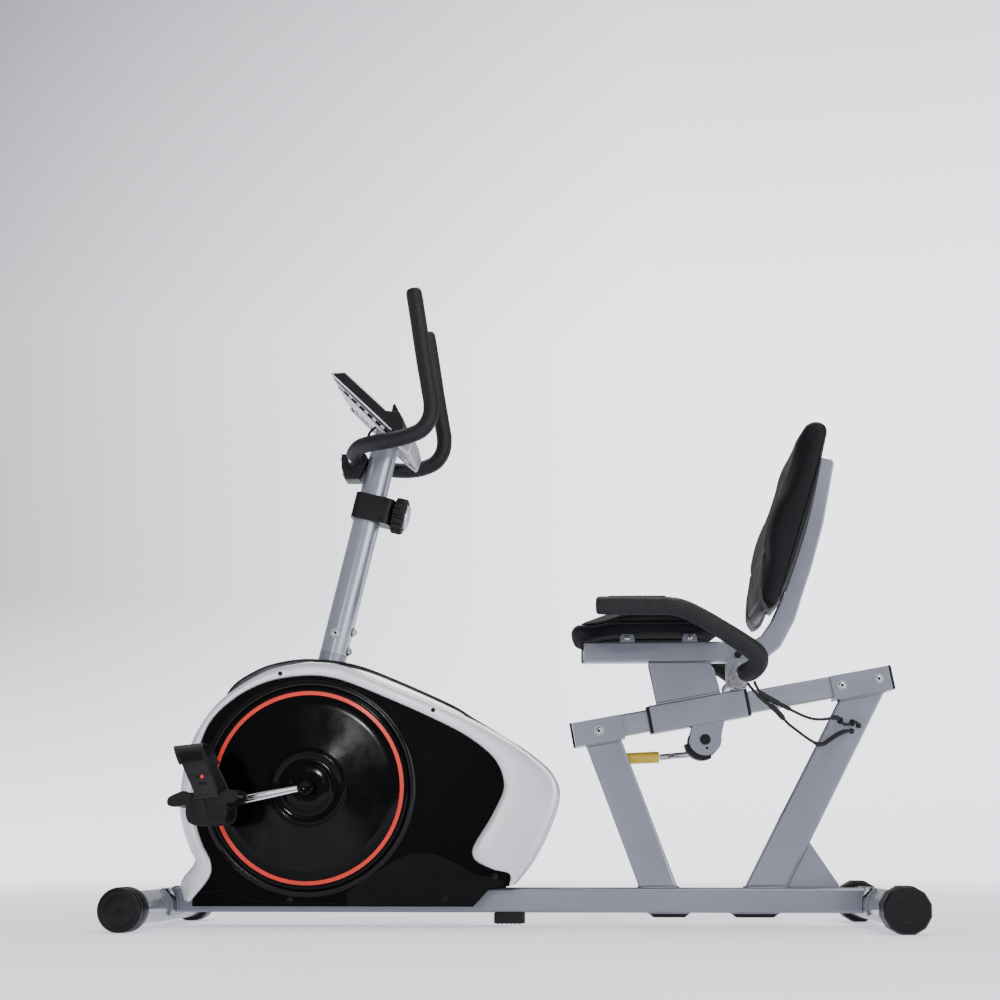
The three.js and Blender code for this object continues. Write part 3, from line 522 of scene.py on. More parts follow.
def floor_cap(node, profile, segments, foot, side, roll, *edges):
    """A cap turned about its tube and cut flat where it stands."""
    verts, faces = moved(turned(profile, segments), (foot[0], FOOT_END * side, foot[1]), (0, -side, 0), roll)
    flat = [Vector((v[0], v[1], max(v[2], 0.0))) for v in verts]
    stand_in(node, [(flat, faces)], SATIN, 40, *edges)


def feet():
    def caps(side, word):
        floor_cap(f"front_cap_{word}", FRONT_CAP, 80, FRONT_FOOT, side, 0)
        floor_cap(f"rear_cap_{word}", REAR_CAP, 12, REAR_FOOT, side, 15, 0.9, 2)
        for x, z in (FRONT_FOOT, REAR_FOOT):
            # seam collar where the tube enters its cap
            lathe("frame", SATIN, [(30.1, 0), (31.0, 0.3), (31.0, 2.4), (30.1, 2.8)], 64, (x, 236.5 * side, z),
                  (0, side, 0))
    mirrored(caps)
    dress(MAST_PAINT, 0, 2, "front_foot_tube", "rear_foot_tube")
    for x0, x1 in BEAM_PADS:
        pad = [(x0 + 1, 25.3), (x0 + 10.5, 17.6), (x1 - 10.5, 17.6), (x1 - 1, 25.3)]
        detail("frame", SATIN, slab(pad, -16.4, 16.4))
        for y in (-16.5, 16.5):
            weld_bead([(x0, y, 25.8), (x1, y, 25.8)], r=1.8)
    dress(PAINT, 0.6, 2, "base_beam")
    dress(RUBBER, 1.6, 3, "beam_pad")
    for x in (-34, -26, -18, -10, -2, 6):
        detail("frame", RUBBER, brick(x - 1.4, x + 1.4, -23, 23, 5.2, 6.4))
    # curved washers and bolts through the saddles, then the saddles' welds
    for (x0, z0), lean, inward in ((FRONT_FOOT, 42, 1), (REAR_FOOT, 138, -1)):
        a = radians(lean)
        out = Vector((cos(a), 0, sin(a)))
        for y in (42, -42):
            pad = []
            for k in range(9):
                b = radians(lean - 16 + 4 * k)
                pad.append([(x0 + r * cos(b), y + w, z0 + r * sin(b)) for r, w in
                            ((35.0, -9), (37.2, -9), (37.2, 9), (35.0, 9))])
            detail("frame", SATIN, loft(pad))
            socket_bolt(Vector((x0, y, z0)) + out * 35.0 + out * 2.2, out, 7.0)
        x = x0 + inward * 36.5
        for y in (-25.5, 25.5):
            weld_bead([(x, y, 30), (x - inward, y, 50), (x - inward * 6, y, 66)])
        top = x - inward * 9
        weld_bead([(top, -24, 70.5), (top, 0, 71.5), (top, 24, 70.5)])


def uprights():
    dress(PAINT, 0.7, 2, "front_upright", "rear_upright")
    dress(STEEL, 0.5, 2, "seat_rail")
    dress(SATIN, 1.4, 3, "rail_cap_front", "rail_cap_rear")
    for x0, x1 in ((226, 297), (420, 497)):
        edge = [(x0 - 1, 0), (x0 + 2, -14), (x0 + 12, -18), (x1 - 12, -18), (x1 - 2, -14), (x1 + 1, 0)]
        weld_bead([(x, y, 71.6) for x, y in edge])
        weld_bead([(x, -y, 71.6) for x, y in edge])
    for y in (-5.2, 5.2):
        weld_bead([(500, y, 72), (550, y, 71.8), (590, y, 72)], r=1.7)
        weld_bead([(503, y, 88), (522, y, 121), (540, y, 151)], r=1.7)
    for s0, s1 in ((-279, -212), (200, 286)):
        for y in (-19.5, 19.5):
            weld_bead([on_rail(s0, -26.2, y), on_rail((s0 + s1) / 2, -26.2, y), on_rail(s1, -26.2, y)], r=2.0)
    for s, n in ((-250, -3), (208, -1), (277, -1)):
        for side in (-1, 1):
            socket_bolt(on_rail(s, n, 25.4 * side), (0, side, 0), 6.6)


# ------------------------------------------------------------------ mast, handlebar and console
DIAL = (46.5, 0, 192)      # foot of the tension dial, in the mast's own axes


def mast_group():
    dress(PAINT, 0.5, 2, "mast_stub")
    dress(MAST_PAINT, 0.3, 2, "mast")
    for y in (-1, 1):
        socket_bolt(on_mast(-1.5, 26.2 * y, -57), mast_axis(-0.05, y, 0), 6.4, True)
    for z in (-46, -84):
        hex_bolt(on_mast(26.2, 0, z), mast_axis(1, 0, 0), 6.4)
    lathe("frame", MAST_PAINT, [(26.1, 0), (26.7, 0.4), (26.7, 1.6), (26.1, 2.0)], 56, on_mast(0, 0, -95),
          mast_axis(0, 0, 1))
    dress(SATIN, 2.0, 3, "tension_collar")
    # painted shade: a thin dark line standing for the groove round the collar
    groove = [on_mast(x, y, 192) for x, y in ((-29.8, -20), (-29.8, 20))]
    detail("frame", PAINTED_SHADE, swept(spline(groove, 8), 0.5, 6))
    for z in (176, 208):
        for side in (-1, 1):
            screw(on_mast(30, 32.1 * side, z), (0, side, 0), 3.0)
    # knurled dial: lobed rim, dished face, silver cap and a pointer
    rings = []
    for r, h, lobe in ((0, 0, 0), (26, 0, 0), (30, 1.2, 0.4), (33.0, 3.0, 1.8), (33.2, 7, 2.0), (33.2, 19, 2.0),
                       (32.4, 22.5, 1.7), (29, 25.2, 0.4), (25, 26.2, 0), (24.2, 25.4, 0), (0, 25.4, 0)):
        ring = []
        for i in range(216):
            a = tau * i / 216
            wide = r + lobe * max(-0.75, cos(18 * a))
            ring.append((wide * cos(a), wide * sin(a), h))
        rings.append(ring)
    stand_in("tension_knob", [moved(loft(rings), on_mast(*DIAL), mast_axis(1, 0, 0))], SATIN)
    lathe("tension_dial", SILVER, [(0, 25.3), (23.4, 25.3), (23.6, 27.6), (22.6, 29.2), (18, 30.2), (0, 30.8)], 72,
          on_mast(*DIAL), mast_axis(1, 0, 0))
    pointer = brick(-1.2, 1.2, 6, 20, 30.2, 31.0)
    detail("tension_dial", RED, moved(pointer, on_mast(*DIAL), mast_axis(1, 0, 0)))
    for k in range(8):
        a = radians(45 * k)
        dot = turned([(0, 25.3), (1.3, 25.3), (1.3, 26.6), (0, 26.6)], 12)
        offset = mast_axis(0, 28 * sin(a), 28 * cos(a))
        detail("tension_dial", PRINT, moved(dot, Vector(on_mast(*DIAL)) + offset, mast_axis(1, 0, 0)))


BAR = [(-313, 0, 872), (-313, -18, 873), (-310, -38, 879), (-304, -60, 885), (-291, -86, 890), (-270, -108, 891),
       (-243, -125, 891), (-216, -136, 893), (-190, -140, 899), (-168, -140, 910), (-154, -140, 931),
       (-151, -140, 957), (-156, -140, 990), (-166, -140, 1049), (-175, -140, 1108), (-186, -140, 1178)]


def handlebar():
    full = [Vector((x, y, z)) for x, y, z in reversed(BAR)] + [Vector((x, -y, z)) for x, y, z in BAR[1:]]
    line = spline(full, 401)
    dress(CHROME, 0, 2, "handlebar_core")

    def grip(side, word):
        part = line[:181]
        data = swept(part, lambda t: 15.1 - 2.2 * max(0.0, 1 - t * 60) ** 2 - 1.6 * max(0.0, (t - 0.985) * 66) ** 2,
                     40)
        stand_in(f"grip_{word}", [sided(data, side)], FOAM, 60)
        tip = part[0]
        out = (part[0] - part[2]).normalized()
        plug = turned([(0, -1), (12.0, -1), (12.4, 0.2), (11.6, 1.3), (9, 1.9), (3, 2.2), (2.4, 1.7), (0, 1.7)], 40)
        detail("frame", SATIN, sided(moved(plug, tip, out), side))
        for shift in (0, 1):
            seam = [p + (Vector((0, -1, 0)) if shift else Vector((1, 0, 0.1))) * 15.0 for p in part[6:90]]
            detail("frame", RUBBER, sided(swept(seam, 0.35, 6), side))
    mirrored(grip)
    dress(SATIN, 1.6, 3, "bar_clamp")
    for y in (-15, 15):
        socket_bolt((-335.2, y, 883), (-1, 0, 0), 4.2, False)
        socket_bolt((-331.4, y, 852), (-1, 0, -0.28), 4.2, False)
    # painted shade: thin dark lines along the clamp's split
    for y in (-26.2, 26.2):
        detail("frame", PAINTED_SHADE, swept(spline([(-335, y, 866), (-318, y, 860), (-300, y, 858)], 12), 0.5, 6))


DOWN = Vector((78, 0, -74)).normalized()
OUT = Vector((74, 0, 78)).normalized()
PANEL_TOP = Vector((-318, 0, 1029))


def panel_point(along, y, height=0.0):
    return PANEL_TOP + DOWN * along + Vector((0, y, 0)) + OUT * height


def panel_slab(a0, a1, y0, y1, h0, h1, r=0.0):
    """A plate lying on the console's display face, its corners rounded by r."""
    corners = ((a1 - r, y1 - r, 0), (a0 + r, y1 - r, 90), (a0 + r, y0 + r, 180), (a1 - r, y0 + r, 270))
    outline = []
    for a, y, start in corners:
        for k in range(7 if r else 1):
            t = radians(start + 15 * k)
            outline.append((a + r * cos(t), y + r * sin(t)))
    return loft([[panel_point(a, y, h) for a, y in outline] for h in (h0, h1)])


def console():
    dress(SATIN, 2.2, 3, "console_case")
    dress(SILVER, 1.2, 3, "console_back")
    dress(SCREEN, 0.3, 2, "console_screen")
    trim = [panel_point(2, 0), panel_point(50, 0), panel_point(104, 0)]
    for y in (-108.5, 108.5):
        detail("frame", SILVER, swept(spline([(p.x, y, p.z) for p in (q + OUT * 0.6 for q in trim)], 20), 1.3, 10))
        edge = [(-344, y, 1028), (-318, y, 1029.4)]
        detail("frame", SILVER, swept(edge, 0.8, 8))
    for y in (-110.2, 110.2):
        lower = [(-343, y, 1026), (-286, y, 972), (-229, y, 917)]
        detail("frame", SILVER, swept(spline(lower, 12), 1.5, 10))
        for k in range(6):
            x, z = -322 + 15.5 * k, 1001 - 14.6 * k
            pocket = [(x, z), (x + 9, z - 8.5), (x + 5.5, z - 11.5), (x - 3.5, z - 3)]
            sy = -82.2 if y < 0 else 82.2
            # painted shade: a dark plate standing for each pocket in the silver back
            detail("frame", PAINTED_SHADE, slab(pocket, min(sy, sy * 0.99), max(sy, sy * 0.99)))
    frame_bars = [panel_slab(9, 13, -75, 75, -2.6, 1.0, 1), panel_slab(69, 73, -75, 75, -2.6, 1.0, 1),
                  panel_slab(9, 73, -76, -71.8, -2.6, 1.0, 1), panel_slab(9, 73, 71.8, 76, -2.6, 1.0, 1)]
    detail("frame", SILVER, *frame_bars)
    for i in range(5):
        y = -50 + 25 * i
        detail("frame", PRINT, panel_slab(14.5, 16, y - 7, y + 7, -0.6, -0.35))
    detail("frame", PRINT, panel_slab(3.5, 5.5, -30, 30, 0.0, 0.35))
    for i, y in enumerate((-34, 0, 34)):
        button = turned([(0, -4), (6.9, -4), (6.9, 0.8), (6.2, 2.2), (4.5, 2.9), (2.5, 2.5), (0, 2.4)], 40)
        stand_in(f"console_button_{i + 1}", [moved(button, panel_point(83, y), OUT)], KEY, 50)
        lathe("frame", SATIN, [(7.5, -0.2), (9.0, -0.2), (9.0, 0.7), (8.4, 1.0), (7.5, 0.8)], 40,
              panel_point(83, y), OUT)
        detail("frame", PRINT, panel_slab(95, 96.4, y - 6, y + 6, 0.0, 0.3))
    # painted shade: dark strips on the face standing for slots
    for k in range(6):
        for y in (-92, 92):
            detail("frame", PAINTED_SHADE, panel_slab(60 + 4 * k, 61.6 + 4 * k, y - 9, y + 9, -0.3, 0.15))
    # ribs, vents and screws on the silver back; the vents are thin dark lines of painted shade
    normal = Vector((-0.705, 0, -0.709))
    for k in range(9):
        a = Vector((-325 + 10 * k, 0, 1001.4 - 9.93 * k)) + normal * 0.1
        for y0, y1 in ((-66, -34), (34, 66)):
            detail("frame", PAINTED_SHADE, swept([a + Vector((0, y0, 0)), a + Vector((0, y1, 0))], 0.9, 6))
    for x, z, y in ((-327, 1003.4, -74), (-327, 1003.4, 74), (-243, 920, -74), (-243, 920, 74)):
        screw((x, y, z), normal, 3.4)
    rib = [(-333, 1009), (-232, 908.5), (-199, 880)]
    for y in (-80, 80):
        detail("frame", SILVER, swept(spline([(x - 1.5, y, z - 1.5) for x, z in rib], 30), 2.4, 10))
    # lead from the console down into the mast
    detail("frame", RUBBER, swept(spline([(-268, -12, 948), (-282, -12, 936), (-287, -10, 916), (-280, -6, 902)],
                                         24), 2.6, 12))


# ------------------------------------------------------------------ shroud
RIM_OUT = [(-601, 38), (-612, 81), (-588, 117), (-597, 141), (-612, 183), (-618, 224), (-612, 290), (-593, 350),
           (-557, 404), (-515, 439), (-460, 469), (-405, 482), (-370, 485), (-315, 477), (-238, 445), (-154, 411),
           (-83, 380), (-6, 338), (41, 305), (71, 275), (80, 240), (65, 187), (36, 128), (6, 87), (-14, 68)]
RIM_IN = [(-601, 38), (-561, 87), (-557, 117), (-574, 152), (-586, 188), (-591, 230), (-589, 300), (-574, 356),
          (-550, 392), (-506, 427), (-453, 450), (-393, 459), (-344, 456), (-297, 442), (-213, 407), (-153, 380),
          (-94, 350), (-48, 316), (-27, 287), (-20, 257), (-27, 232), (-48, 192), (-73, 152), (-78, 134),
          (-70, 119), (-38, 104), (-9, 96), (-14, 68)]


def plane_line(points, count):
    return [(p.x, p.z) for p in spline([(x, 0, z) for x, z in points], count)]


def shroud():
    n = 220
    outer, inner = plane_line(RIM_OUT, n), plane_line(RIM_IN, n)
    # (share of the way from the outer to the inner edge, depth from the middle plane)
    section = [(0.0, 32.4), (0.0, 45.0), (0.0, 60.0), (0.0, 72.0), (0.012, 75.6), (0.05, 78.4), (0.12, 79.9),
               (0.25, 80.6), (0.5, 81.0), (0.75, 80.8), (0.9, 80.2), (0.97, 78.8), (0.995, 76.6), (1.0, 74.0),
               (1.0, 70.2)]

    def side_shell(side, word):
        rings = []
        for i in range(2, n - 2):
            a, b = outer[i], inner[i]
            rings.append([(a[0] + (b[0] - a[0]) * t, side * y, a[1] + (b[1] - a[1]) * t) for t, y in section])
        rim = loft(rings, False, False)
        # back face of the shell, so that it has thickness
        back = loft([[(a[0] + (b[0] - a[0]) * t, side * y, a[1] + (b[1] - a[1]) * t)
                      for t, y in ((0.0, 32.4), (0.12, 32.4), (0.12, 70.2), (1.0, 70.2))]
                     for a, b in zip(outer[2:-2], inner[2:-2])], False, False)
        stand_in(f"shroud_rim_{word}", [rim, back], SILVER, 50)
        edge = inner[3:-4]
        outline = [(-590, 38)] + edge + [(-17, 72), (-48, 68), (-76, 38)]
        stand_in(f"side_panel_{word}", [sided(slab(outline, -75, -71), side)], PANEL, 30, 0.8, 2, 60)
        lathe("frame", GROOVE, [(187.3, 0), (187.3, 3.2), (188.6, 4.4), (190.5, 4.8), (194, 4.4), (198.2, 2.6),
                                (199.6, 0.6), (199.8, 0)], 160, (CRANK[0], 74.9 * side, CRANK[1]), (0, side, 0))
        ledge = [(-306, 62), (-285, 78), (-243, 105), (-208, 126), (-183, 134), (-160, 134.5), (-142, 131),
                 (-120, 122), (-101, 113), (-84, 102), (-60, 94), (-24, 86), (-20, 75), (-48, 69), (-76, 40),
                 (-306, 40)]
        ledge = plane_line(ledge[:13], 60) + ledge[13:]
        detail("frame", LEDGE, sided(slab(ledge, -77.6, -74.5), side))
        boss = plane_line([(-192, 46), (-178, 60), (-160, 78), (-142, 91), (-118, 96), (-94, 97), (-70, 90),
                           (-64, 76)], 40)
        boss += [(-84, 52), (-92, 44)]
        detail("frame", LEDGE, sided(slab(boss, -79.6, -77.0), side))
        crease = [(-590, 60), (-540, 66), (-505, 57), (-470, 48), (-430, 45), (-380, 44), (-320, 44)]
        pts = [(x, 75.2 * side, z) for x, z in plane_line(crease, 60)]
        detail("frame", LEDGE, swept(pts, 1.6, 8))
        for x, z, y in ((-435, 463, 80.2), (-150, 394, 80.4), (-411, 50, 75.0), (-128, 52, 79.5), (-36, 92, 77.6),
                        (-583, 245, 75.0)):
            screw((x, y * side, z), (0, side, 0), 4.2)
    mirrored(side_shell)

    spine = [(-606, 84), (-584, 117), (-592, 141), (-607, 183), (-613, 224), (-607, 290), (-589, 352), (-556, 410),
             (-534, 446), (-500, 470), (-455, 488), (-389, 496), (-304, 485), (-223, 455), (-119, 408), (-80, 384),
             (-8, 340), (37, 305), (66, 273), (75, 240), (60, 187), (32, 130), (4, 92)]
    line = plane_line(spine, n)
    rings = []
    for i, p in enumerate(line):
        a, b = line[max(i - 1, 0)], line[min(i + 1, n - 1)]
        t = Vector((b[0] - a[0], 0, b[1] - a[1])).normalized()
        out = Vector((-t.z, 0, t.x))
        mid = Vector((p[0], 0, p[1]))
        ring = []
        for y, h in ((-31.8, -4.0), (-31.8, -1.4), (-30.6, -0.4), (-28, 0.1), (-14, 0.5), (-1.6, 0.6), (-0.9, -0.5),
                     (0.9, -0.5), (1.6, 0.6), (14, 0.5), (28, 0.1), (30.6, -0.4), (31.8, -1.4), (31.8, -4.0)):
            ring.append(mid + out * h + Vector((0, y, 0)))
        rings.append(ring)
    stand_in("shroud_spine", [loft(rings)], SATIN)
    lathe("frame", SATIN, [(26.6, -4), (31, -6), (32, -4), (31, -1.5), (28.4, 0), (26.5, 0)], 56,
          on_mast(0, 0, -116), mast_axis(0, 0, 1))


# ------------------------------------------------------------------ drive, cranks and pedals
def arm_end(angle):
    a = radians(angle)
    return CRANK[0] + CRANK_LENGTH * cos(a), CRANK[1] + CRANK_LENGTH * sin(a)


def drive():
    dress(IRON, 0.5, 2, "crank_axle")
    dress(RUBBER, 0.4, 2, "drive_belt")
    dress(IRON, 0.8, 2, "flywheel")
    dress(ZINC, 0.8, 2, "magnet_arm")

    def disc(side, word):
        prof = [(9.0, -77.0), (185.4, -77.0), (186, -78), (186, -80.2), (185.2, -81.6), (183, -82.4), (180, -82.5),
                (177.6, -82.3), (177.2, -81.5), (169.6, -81.5), (169.2, -82.3), (168, -82.6), (150, -82.5),
                (118, -82.9), (96, -83.3), (74, -83.8), (71.5, -83.9), (70.3, -84.6), (69.2, -86.2), (67, -86.8),
                (62, -86.9), (60, -86.2), (44, -86.2), (42.5, -86.9), (41.5, -87.8), (39, -88.2), (24, -88.3),
                (9.0, -88.3), (9.0, -77.0)]
        data = turned([(r, -h) for r, h in prof], 160)
        plate = moved(data, (CRANK[0], 0, CRANK[1]), (0, side, 0))
        stand_in(f"crank_disc_{word}", [plate], GLOSS, 30)
        lathe("crank", RED, [(169.7, 81.3), (177.1, 81.3), (177.1, 82.5), (176.5, 82.9), (170.3, 82.9),
                             (169.7, 82.5), (169.7, 81.3)], 160, (CRANK[0], 0, CRANK[1]), (0, side, 0))
        for k in range(5):
            a = radians(72 * k + 20)
            at = (CRANK[0] + 31 * cos(a), 88.2 * side, CRANK[1] + 31 * sin(a))
            socket_bolt(at, (0, side, 0), 3.0, False, "crank", GROOVE)
    mirrored(disc)

    def arm(side, word):
        angle = 180 + CRANK_ANGLE if side < 0 else CRANK_ANGLE
        rings = []
        for k in range(25):
            t = k / 24
            x = 8 + (CRANK_LENGTH - 14) * t
            w = 6.2 + 2.2 * sin(t * pi) ** 2 * 0.5 + 1.6 * t
            y0, y1 = -93.2 - 0.8 * t, -106.0 + 1.5 * sin(t * pi)
            ring = []
            for a, b in ((-1, 0.25), (-0.86, 0.06), (-0.6, 0), (0.6, 0), (0.86, 0.06), (1, 0.25), (1, 0.72),
                         (0.84, 0.94), (0.55, 1.0), (0.2, 0.95), (0, 0.93), (-0.2, 0.95), (-0.55, 1.0),
                         (-0.84, 0.94), (-1, 0.72)):
                ring.append((x, y0 + (y1 - y0) * b, w * a))
            rings.append(ring)

        def post(profile, segments, x=CRANK_LENGTH):
            return moved(turned(profile, segments), (x, 0, 0), (0, -1, 0))
        hub = post([(0, 89), (12, 89), (12.6, 90), (12.6, 104), (11, 105), (0, 105)], 64, 0)
        cap = post([(0, 102), (15.4, 102), (15.9, 103), (15.9, 108), (14.6, 110.2), (11, 110.8), (9.6, 110.2),
                    (7, 109.6), (0, 109.6)], 64, 0)
        end = post([(0, 92.4), (10.6, 92.4), (11.8, 93.8), (11.8, 108.4), (10.4, 110.6), (7, 111), (0, 111)], 56)
        flats = post([(0, 111), (8.6, 111), (8.6, 117), (7.8, 118), (0, 118)], 6)
        pin = post([(0, 117.5), (7.4, 117.5), (7.4, 236), (0, 236)], 32)
        inner_nut = post([(0, 89.2), (8.0, 89.2), (8.0, 92.6), (0, 92.6)], 6)
        parts = [sided(tilted(d, angle, *CRANK), side) for d in (loft(rings), hub, end, flats, pin, inner_nut)]
        detail("crank", GLOSS, sided(tilted(cap, angle, *CRANK), side))
        stand_in(f"crank_arm_{word}", parts, CHROME, 38)
    mirrored(arm)


PEDAL_SIDE = [(-57, 1), (-58, 8), (-54, 15), (-42, 20), (-26, 23), (-12, 17), (30, 13), (46, 17), (58, 15),
              (66, 10), (66, 1), (60, -5), (47, -7), (46, -22), (42, -34), (34, -40), (4, -41), (-14, -38),
              (-24, -30), (-27, -14), (-27, -3), (-46, -3)]


def strap_place(y, z, u, v, out):
    """A strap point: the loop leans forward (towards -X) as it rises."""
    return Vector((13 - 0.36 * max(z - 20, 0) + u, y, z)) + out * v


def strap_band(line, half, section):
    rings = []
    m = len(line)
    for i, (y, z) in enumerate(line):
        a, b = line[max(i - 1, 0)], line[min(i + 1, m - 1)]
        t = Vector((0, b[0] - a[0], b[1] - a[1])).normalized()
        out = Vector((0, -t.z, t.y))
        rings.append([strap_place(y, z, half * u, v, out) for u, v in section])
    return loft(rings)


def pedals():
    def pedal(side, word):
        place = arm_end(180 + CRANK_ANGLE if side < 0 else CRANK_ANGLE)
        body = f"{word}_pedal"

        def put(data):
            return sided(tilted(data, 6, *place), side)
        outline = plane_line(PEDAL_SIDE + PEDAL_SIDE[:1], 120)[:-1]
        small = [(x * 0.94, z * 0.93) for x, z in outline]
        plates = [slab(outline, -164, -152), slab(outline, -246, -236), slab(small, -237, -163)]
        stand_in(f"pedal_{word}", [put(d) for d in plates], SATIN, 40, 1.5, 3, 50)
        lean = radians(14)
        oval = []
        for h, grow in ((-245.5, 1.0), (-247.2, 1.0), (-248.3, 0.93), (-248.6, 0.8)):
            oval.append([(-2 + grow * (13 * cos(a) * cos(lean) + 25 * sin(a) * sin(-lean)), h,
                          -7 + grow * (25 * sin(a) * cos(lean) + 13 * cos(a) * sin(lean)))
                         for a in (tau * k / 48 for k in range(48))])
        detail(body, SATIN, put(loft(oval)))
        for x in (-48, -40, 52, 60):
            for k in range(9):
                y = -231 + 7.6 * k
                detail(body, SATIN, put(brick(x - 3.0, x + 3.0, y - 1.3, y + 1.3, 11.4, 15.6)))
        for k in range(4):
            rib = brick(17 + 7 * k, 19 + 7 * k, -247.4, -245.8, -36, -8)
            detail(body, SATIN, put(rib))
        detail(body, AMBER, put(brick(-60.2, -58.0, -226, -174, 1, 11)))
        # foot loop: flat side plates with slots, and a ribbed band over the top
        mid, half = -200.0, 50.0
        arch = []
        for i in range(73):
            t = pi * i / 72
            c, s = cos(t), sin(t)
            arch.append((mid + half * copysign(abs(c) ** 0.45, c), 40 + 63.75 * s ** 0.8))
        plate = [(-1, -1.4), (-0.93, -1.75), (0.93, -1.75), (1, -1.4), (1, 1.3), (0.93, 2.3), (0.8, 2.3),
                 (0.77, 1.4), (-0.77, 1.4), (-0.8, 2.3), (-0.93, 2.3), (-1, 1.3)]
        low = [(mid + half, z) for z in (6, 14, 22, 30, 38)] + arch[:20]
        high = arch[-20:] + [(mid - half, z) for z in (38, 30, 22, 14, 6)]
        ribs = [(-1, -1.75), (1, -1.75), (1, 2.2), (0.93, 3.1), (0.84, 3.1), (0.78, 2.2), (0.46, 2.2), (0.40, 3.0),
                (0.31, 3.0), (0.25, 2.2), (-0.25, 2.2), (-0.31, 3.0), (-0.40, 3.0), (-0.46, 2.2), (-0.78, 2.2),
                (-0.84, 3.1), (-0.93, 3.1), (-1, 2.2)]
        parts = [strap_band(low, 21.0, plate), strap_band(high, 21.0, plate), strap_band(arch[9:-9], 26.0, ribs)]
        stand_in(f"pedal_strap_{word}", [put(d) for d in parts], STRAP)
        for y, turn in ((mid - half, -1), (mid + half, 1)):
            for z in (32, 44):
                x = 13 - 0.36 * (z - 20)
                # the slots are thin plates: the dark ones are painted shade in the holes, the ones on the other
                # plate are pale
                slot = brick(x - 7, x + 7, y + turn * 1.2, y + turn * 2.0, z - 2.6, z + 2.6)
                detail(body, PRINT if turn > 0 else PAINTED_SHADE, put(slot))
        dot = moved(turned([(0, 0), (3.4, 0), (3.2, 1.4), (0, 1.8)], 28), (8.5, mid - half - 1.6, 44), (0, -1, 0))
        detail(body, RED, put(dot))
        frame_line = [(-6, 12), (34, 12), (28, 48), (-11, 48), (-6, 12)]
        edge = [(x - 0.36 * max(z - 20, 0) * 0.2, mid - half - 1.9, z) for x, z in frame_line]
        detail(body, STRAP, put(swept(edge[:-1], 0.9, 8)))
    mirrored(pedal)


# ------------------------------------------------------------------ carriage, seat and back
def carriage():
    dress(PAINT, 0.8, 2, "carriage_sleeve")
    dress(SATIN, 0.7, 2, "sleeve_liner_front", "sleeve_liner_rear")
    dress(PAINT, 1.2, 3, "seat_stem")
    dress(PAINT, 0.7, 2, "seat_tube")
    dress(BAR_STEEL, 0, 2, "handle_crossbar")
    for y in (-27.6, 27.6):
        weld_bead([on_rail(-134, 26.6, y), on_rail(-75, 26.6, y), on_rail(-15, 26.6, y)], "carriage", 2.0)
        weld_bead([(250, y * 0.78, 487), (300, y * 0.78, 486.9), (368, y * 0.78, 487)], "carriage", 2.0)
    detail("carriage", SATIN, brick(122.5, 126, -19.5, 19.5, 488, 525))
    for x in (209, 326):
        for side in (-1, 1):
            socket_bolt((x, 20.2 * side, 533), (0, side, 0), 4.8, False, "carriage")
    # lock: hole rings on the ears, and at the pivot bolt a small dark disc of painted shade
    for side in (-1, 1):
        lathe("carriage", SATIN, [(0, 0), (5.4, 0), (6.2, 0.5), (6.2, 0), (10, 0), (10, 1.2), (6.4, 1.6)], 40,
              (LOCK[0], 25.5 * side, LOCK[1]), (0, side, 0))
        lathe("carriage", PAINTED_SHADE, [(0, 0), (2.6, 0), (2.6, 0.3), (0, 0.3)], 20,
              (LOCK[0] + 3, 25.5 * side, LOCK[1] - 16), (0, side, 0))
    dress(SATIN, 0.5, 2, "lock_lever")
    rod = spline([(334, 12.5, 320.5), (318, 14.5, 316), (300, 26, 315), (286, 37, 314), (271, 42, 313)], 60)
    detail("seat_lock", ZINC, swept(rod, 5.7, 20))
    for k in range(7):
        arc_at = [(cos(radians(a)), sin(radians(a))) for a in range(186, 305, 6)]
        crescent = [(346 + 33 * c, 337 + 33 * v) for c, v in arc_at]
        crescent += [(348 + 27 * c, 338 + 27 * v) for c, v in arc_at[::-1]]
        y = -18 + 6 * k
        detail("seat_lock", SATIN, slab(crescent, y - 1.7, y + 1.7))
    grip = spline([(268.4, 43.5, 313), (240, 44, 312), (196, 45, 310)], 60)
    data = swept(grip, lambda t: 10.7 - 2.4 * max(0.0, 1 - t * 26) ** 2 - 2.6 * max(0.0, (t - 0.93) * 14) ** 2
                 + 0.15 * sin(t * 60), 32)
    stand_in("lock_grip", [data], YELLOW, 60)
    # split clamps that carry the cross bar, their bolts and the bolt through the tube end
    for side in (-1, 1):
        near, far = sorted((27.3 * side, 31.5 * side))
        detail("carriage", CLAMP, slab([(394, 455), (414, 486), (421, 482), (402, 449)], near, far),
               slab([(405, 446), (423, 474), (433, 468), (431, 446), (418, 436)], near, far))
        # painted shade: a dark sheet in the split of each clamp
        detail("carriage", PAINTED_SHADE, slab([(402, 449), (421, 482), (423, 481), (404, 448)],
                                      *sorted((27.3 * side, 30.5 * side))))
        socket_bolt((427, 31.5 * side, 459), (0, side, 0), 4.2, False, "carriage")
        hex_bolt((424, 20.2 * side, 503), (0, side, 0), 5.4, "carriage")
        lathe("carriage", SATIN, [(0, 0), (6.5, 0), (6.5, 6), (5, 7.5), (0, 7.5)], 24, (415, 20.1 * side, 500),
              (0, side, 0))
        for at in (33, 160):
            lathe("carriage", BAR_STEEL, [(12.6, 0), (14.6, 0), (15.4, 2), (14.6, 9), (12.6, 9)], 48,
                  (412, at * side, 450), (0, side, 0))


SIDE_BAR = [(152, -232, 565), (200, -232, 565), (250, -232, 564), (280, -232, 563), (306, -232, 557),
            (341, -232, 539), (376, -232, 517), (400, -232, 501), (420, -231, 487), (431, -227, 477),
            (434, -219, 467), (430, -206, 458), (422, -190, 452), (412, -174, 450)]


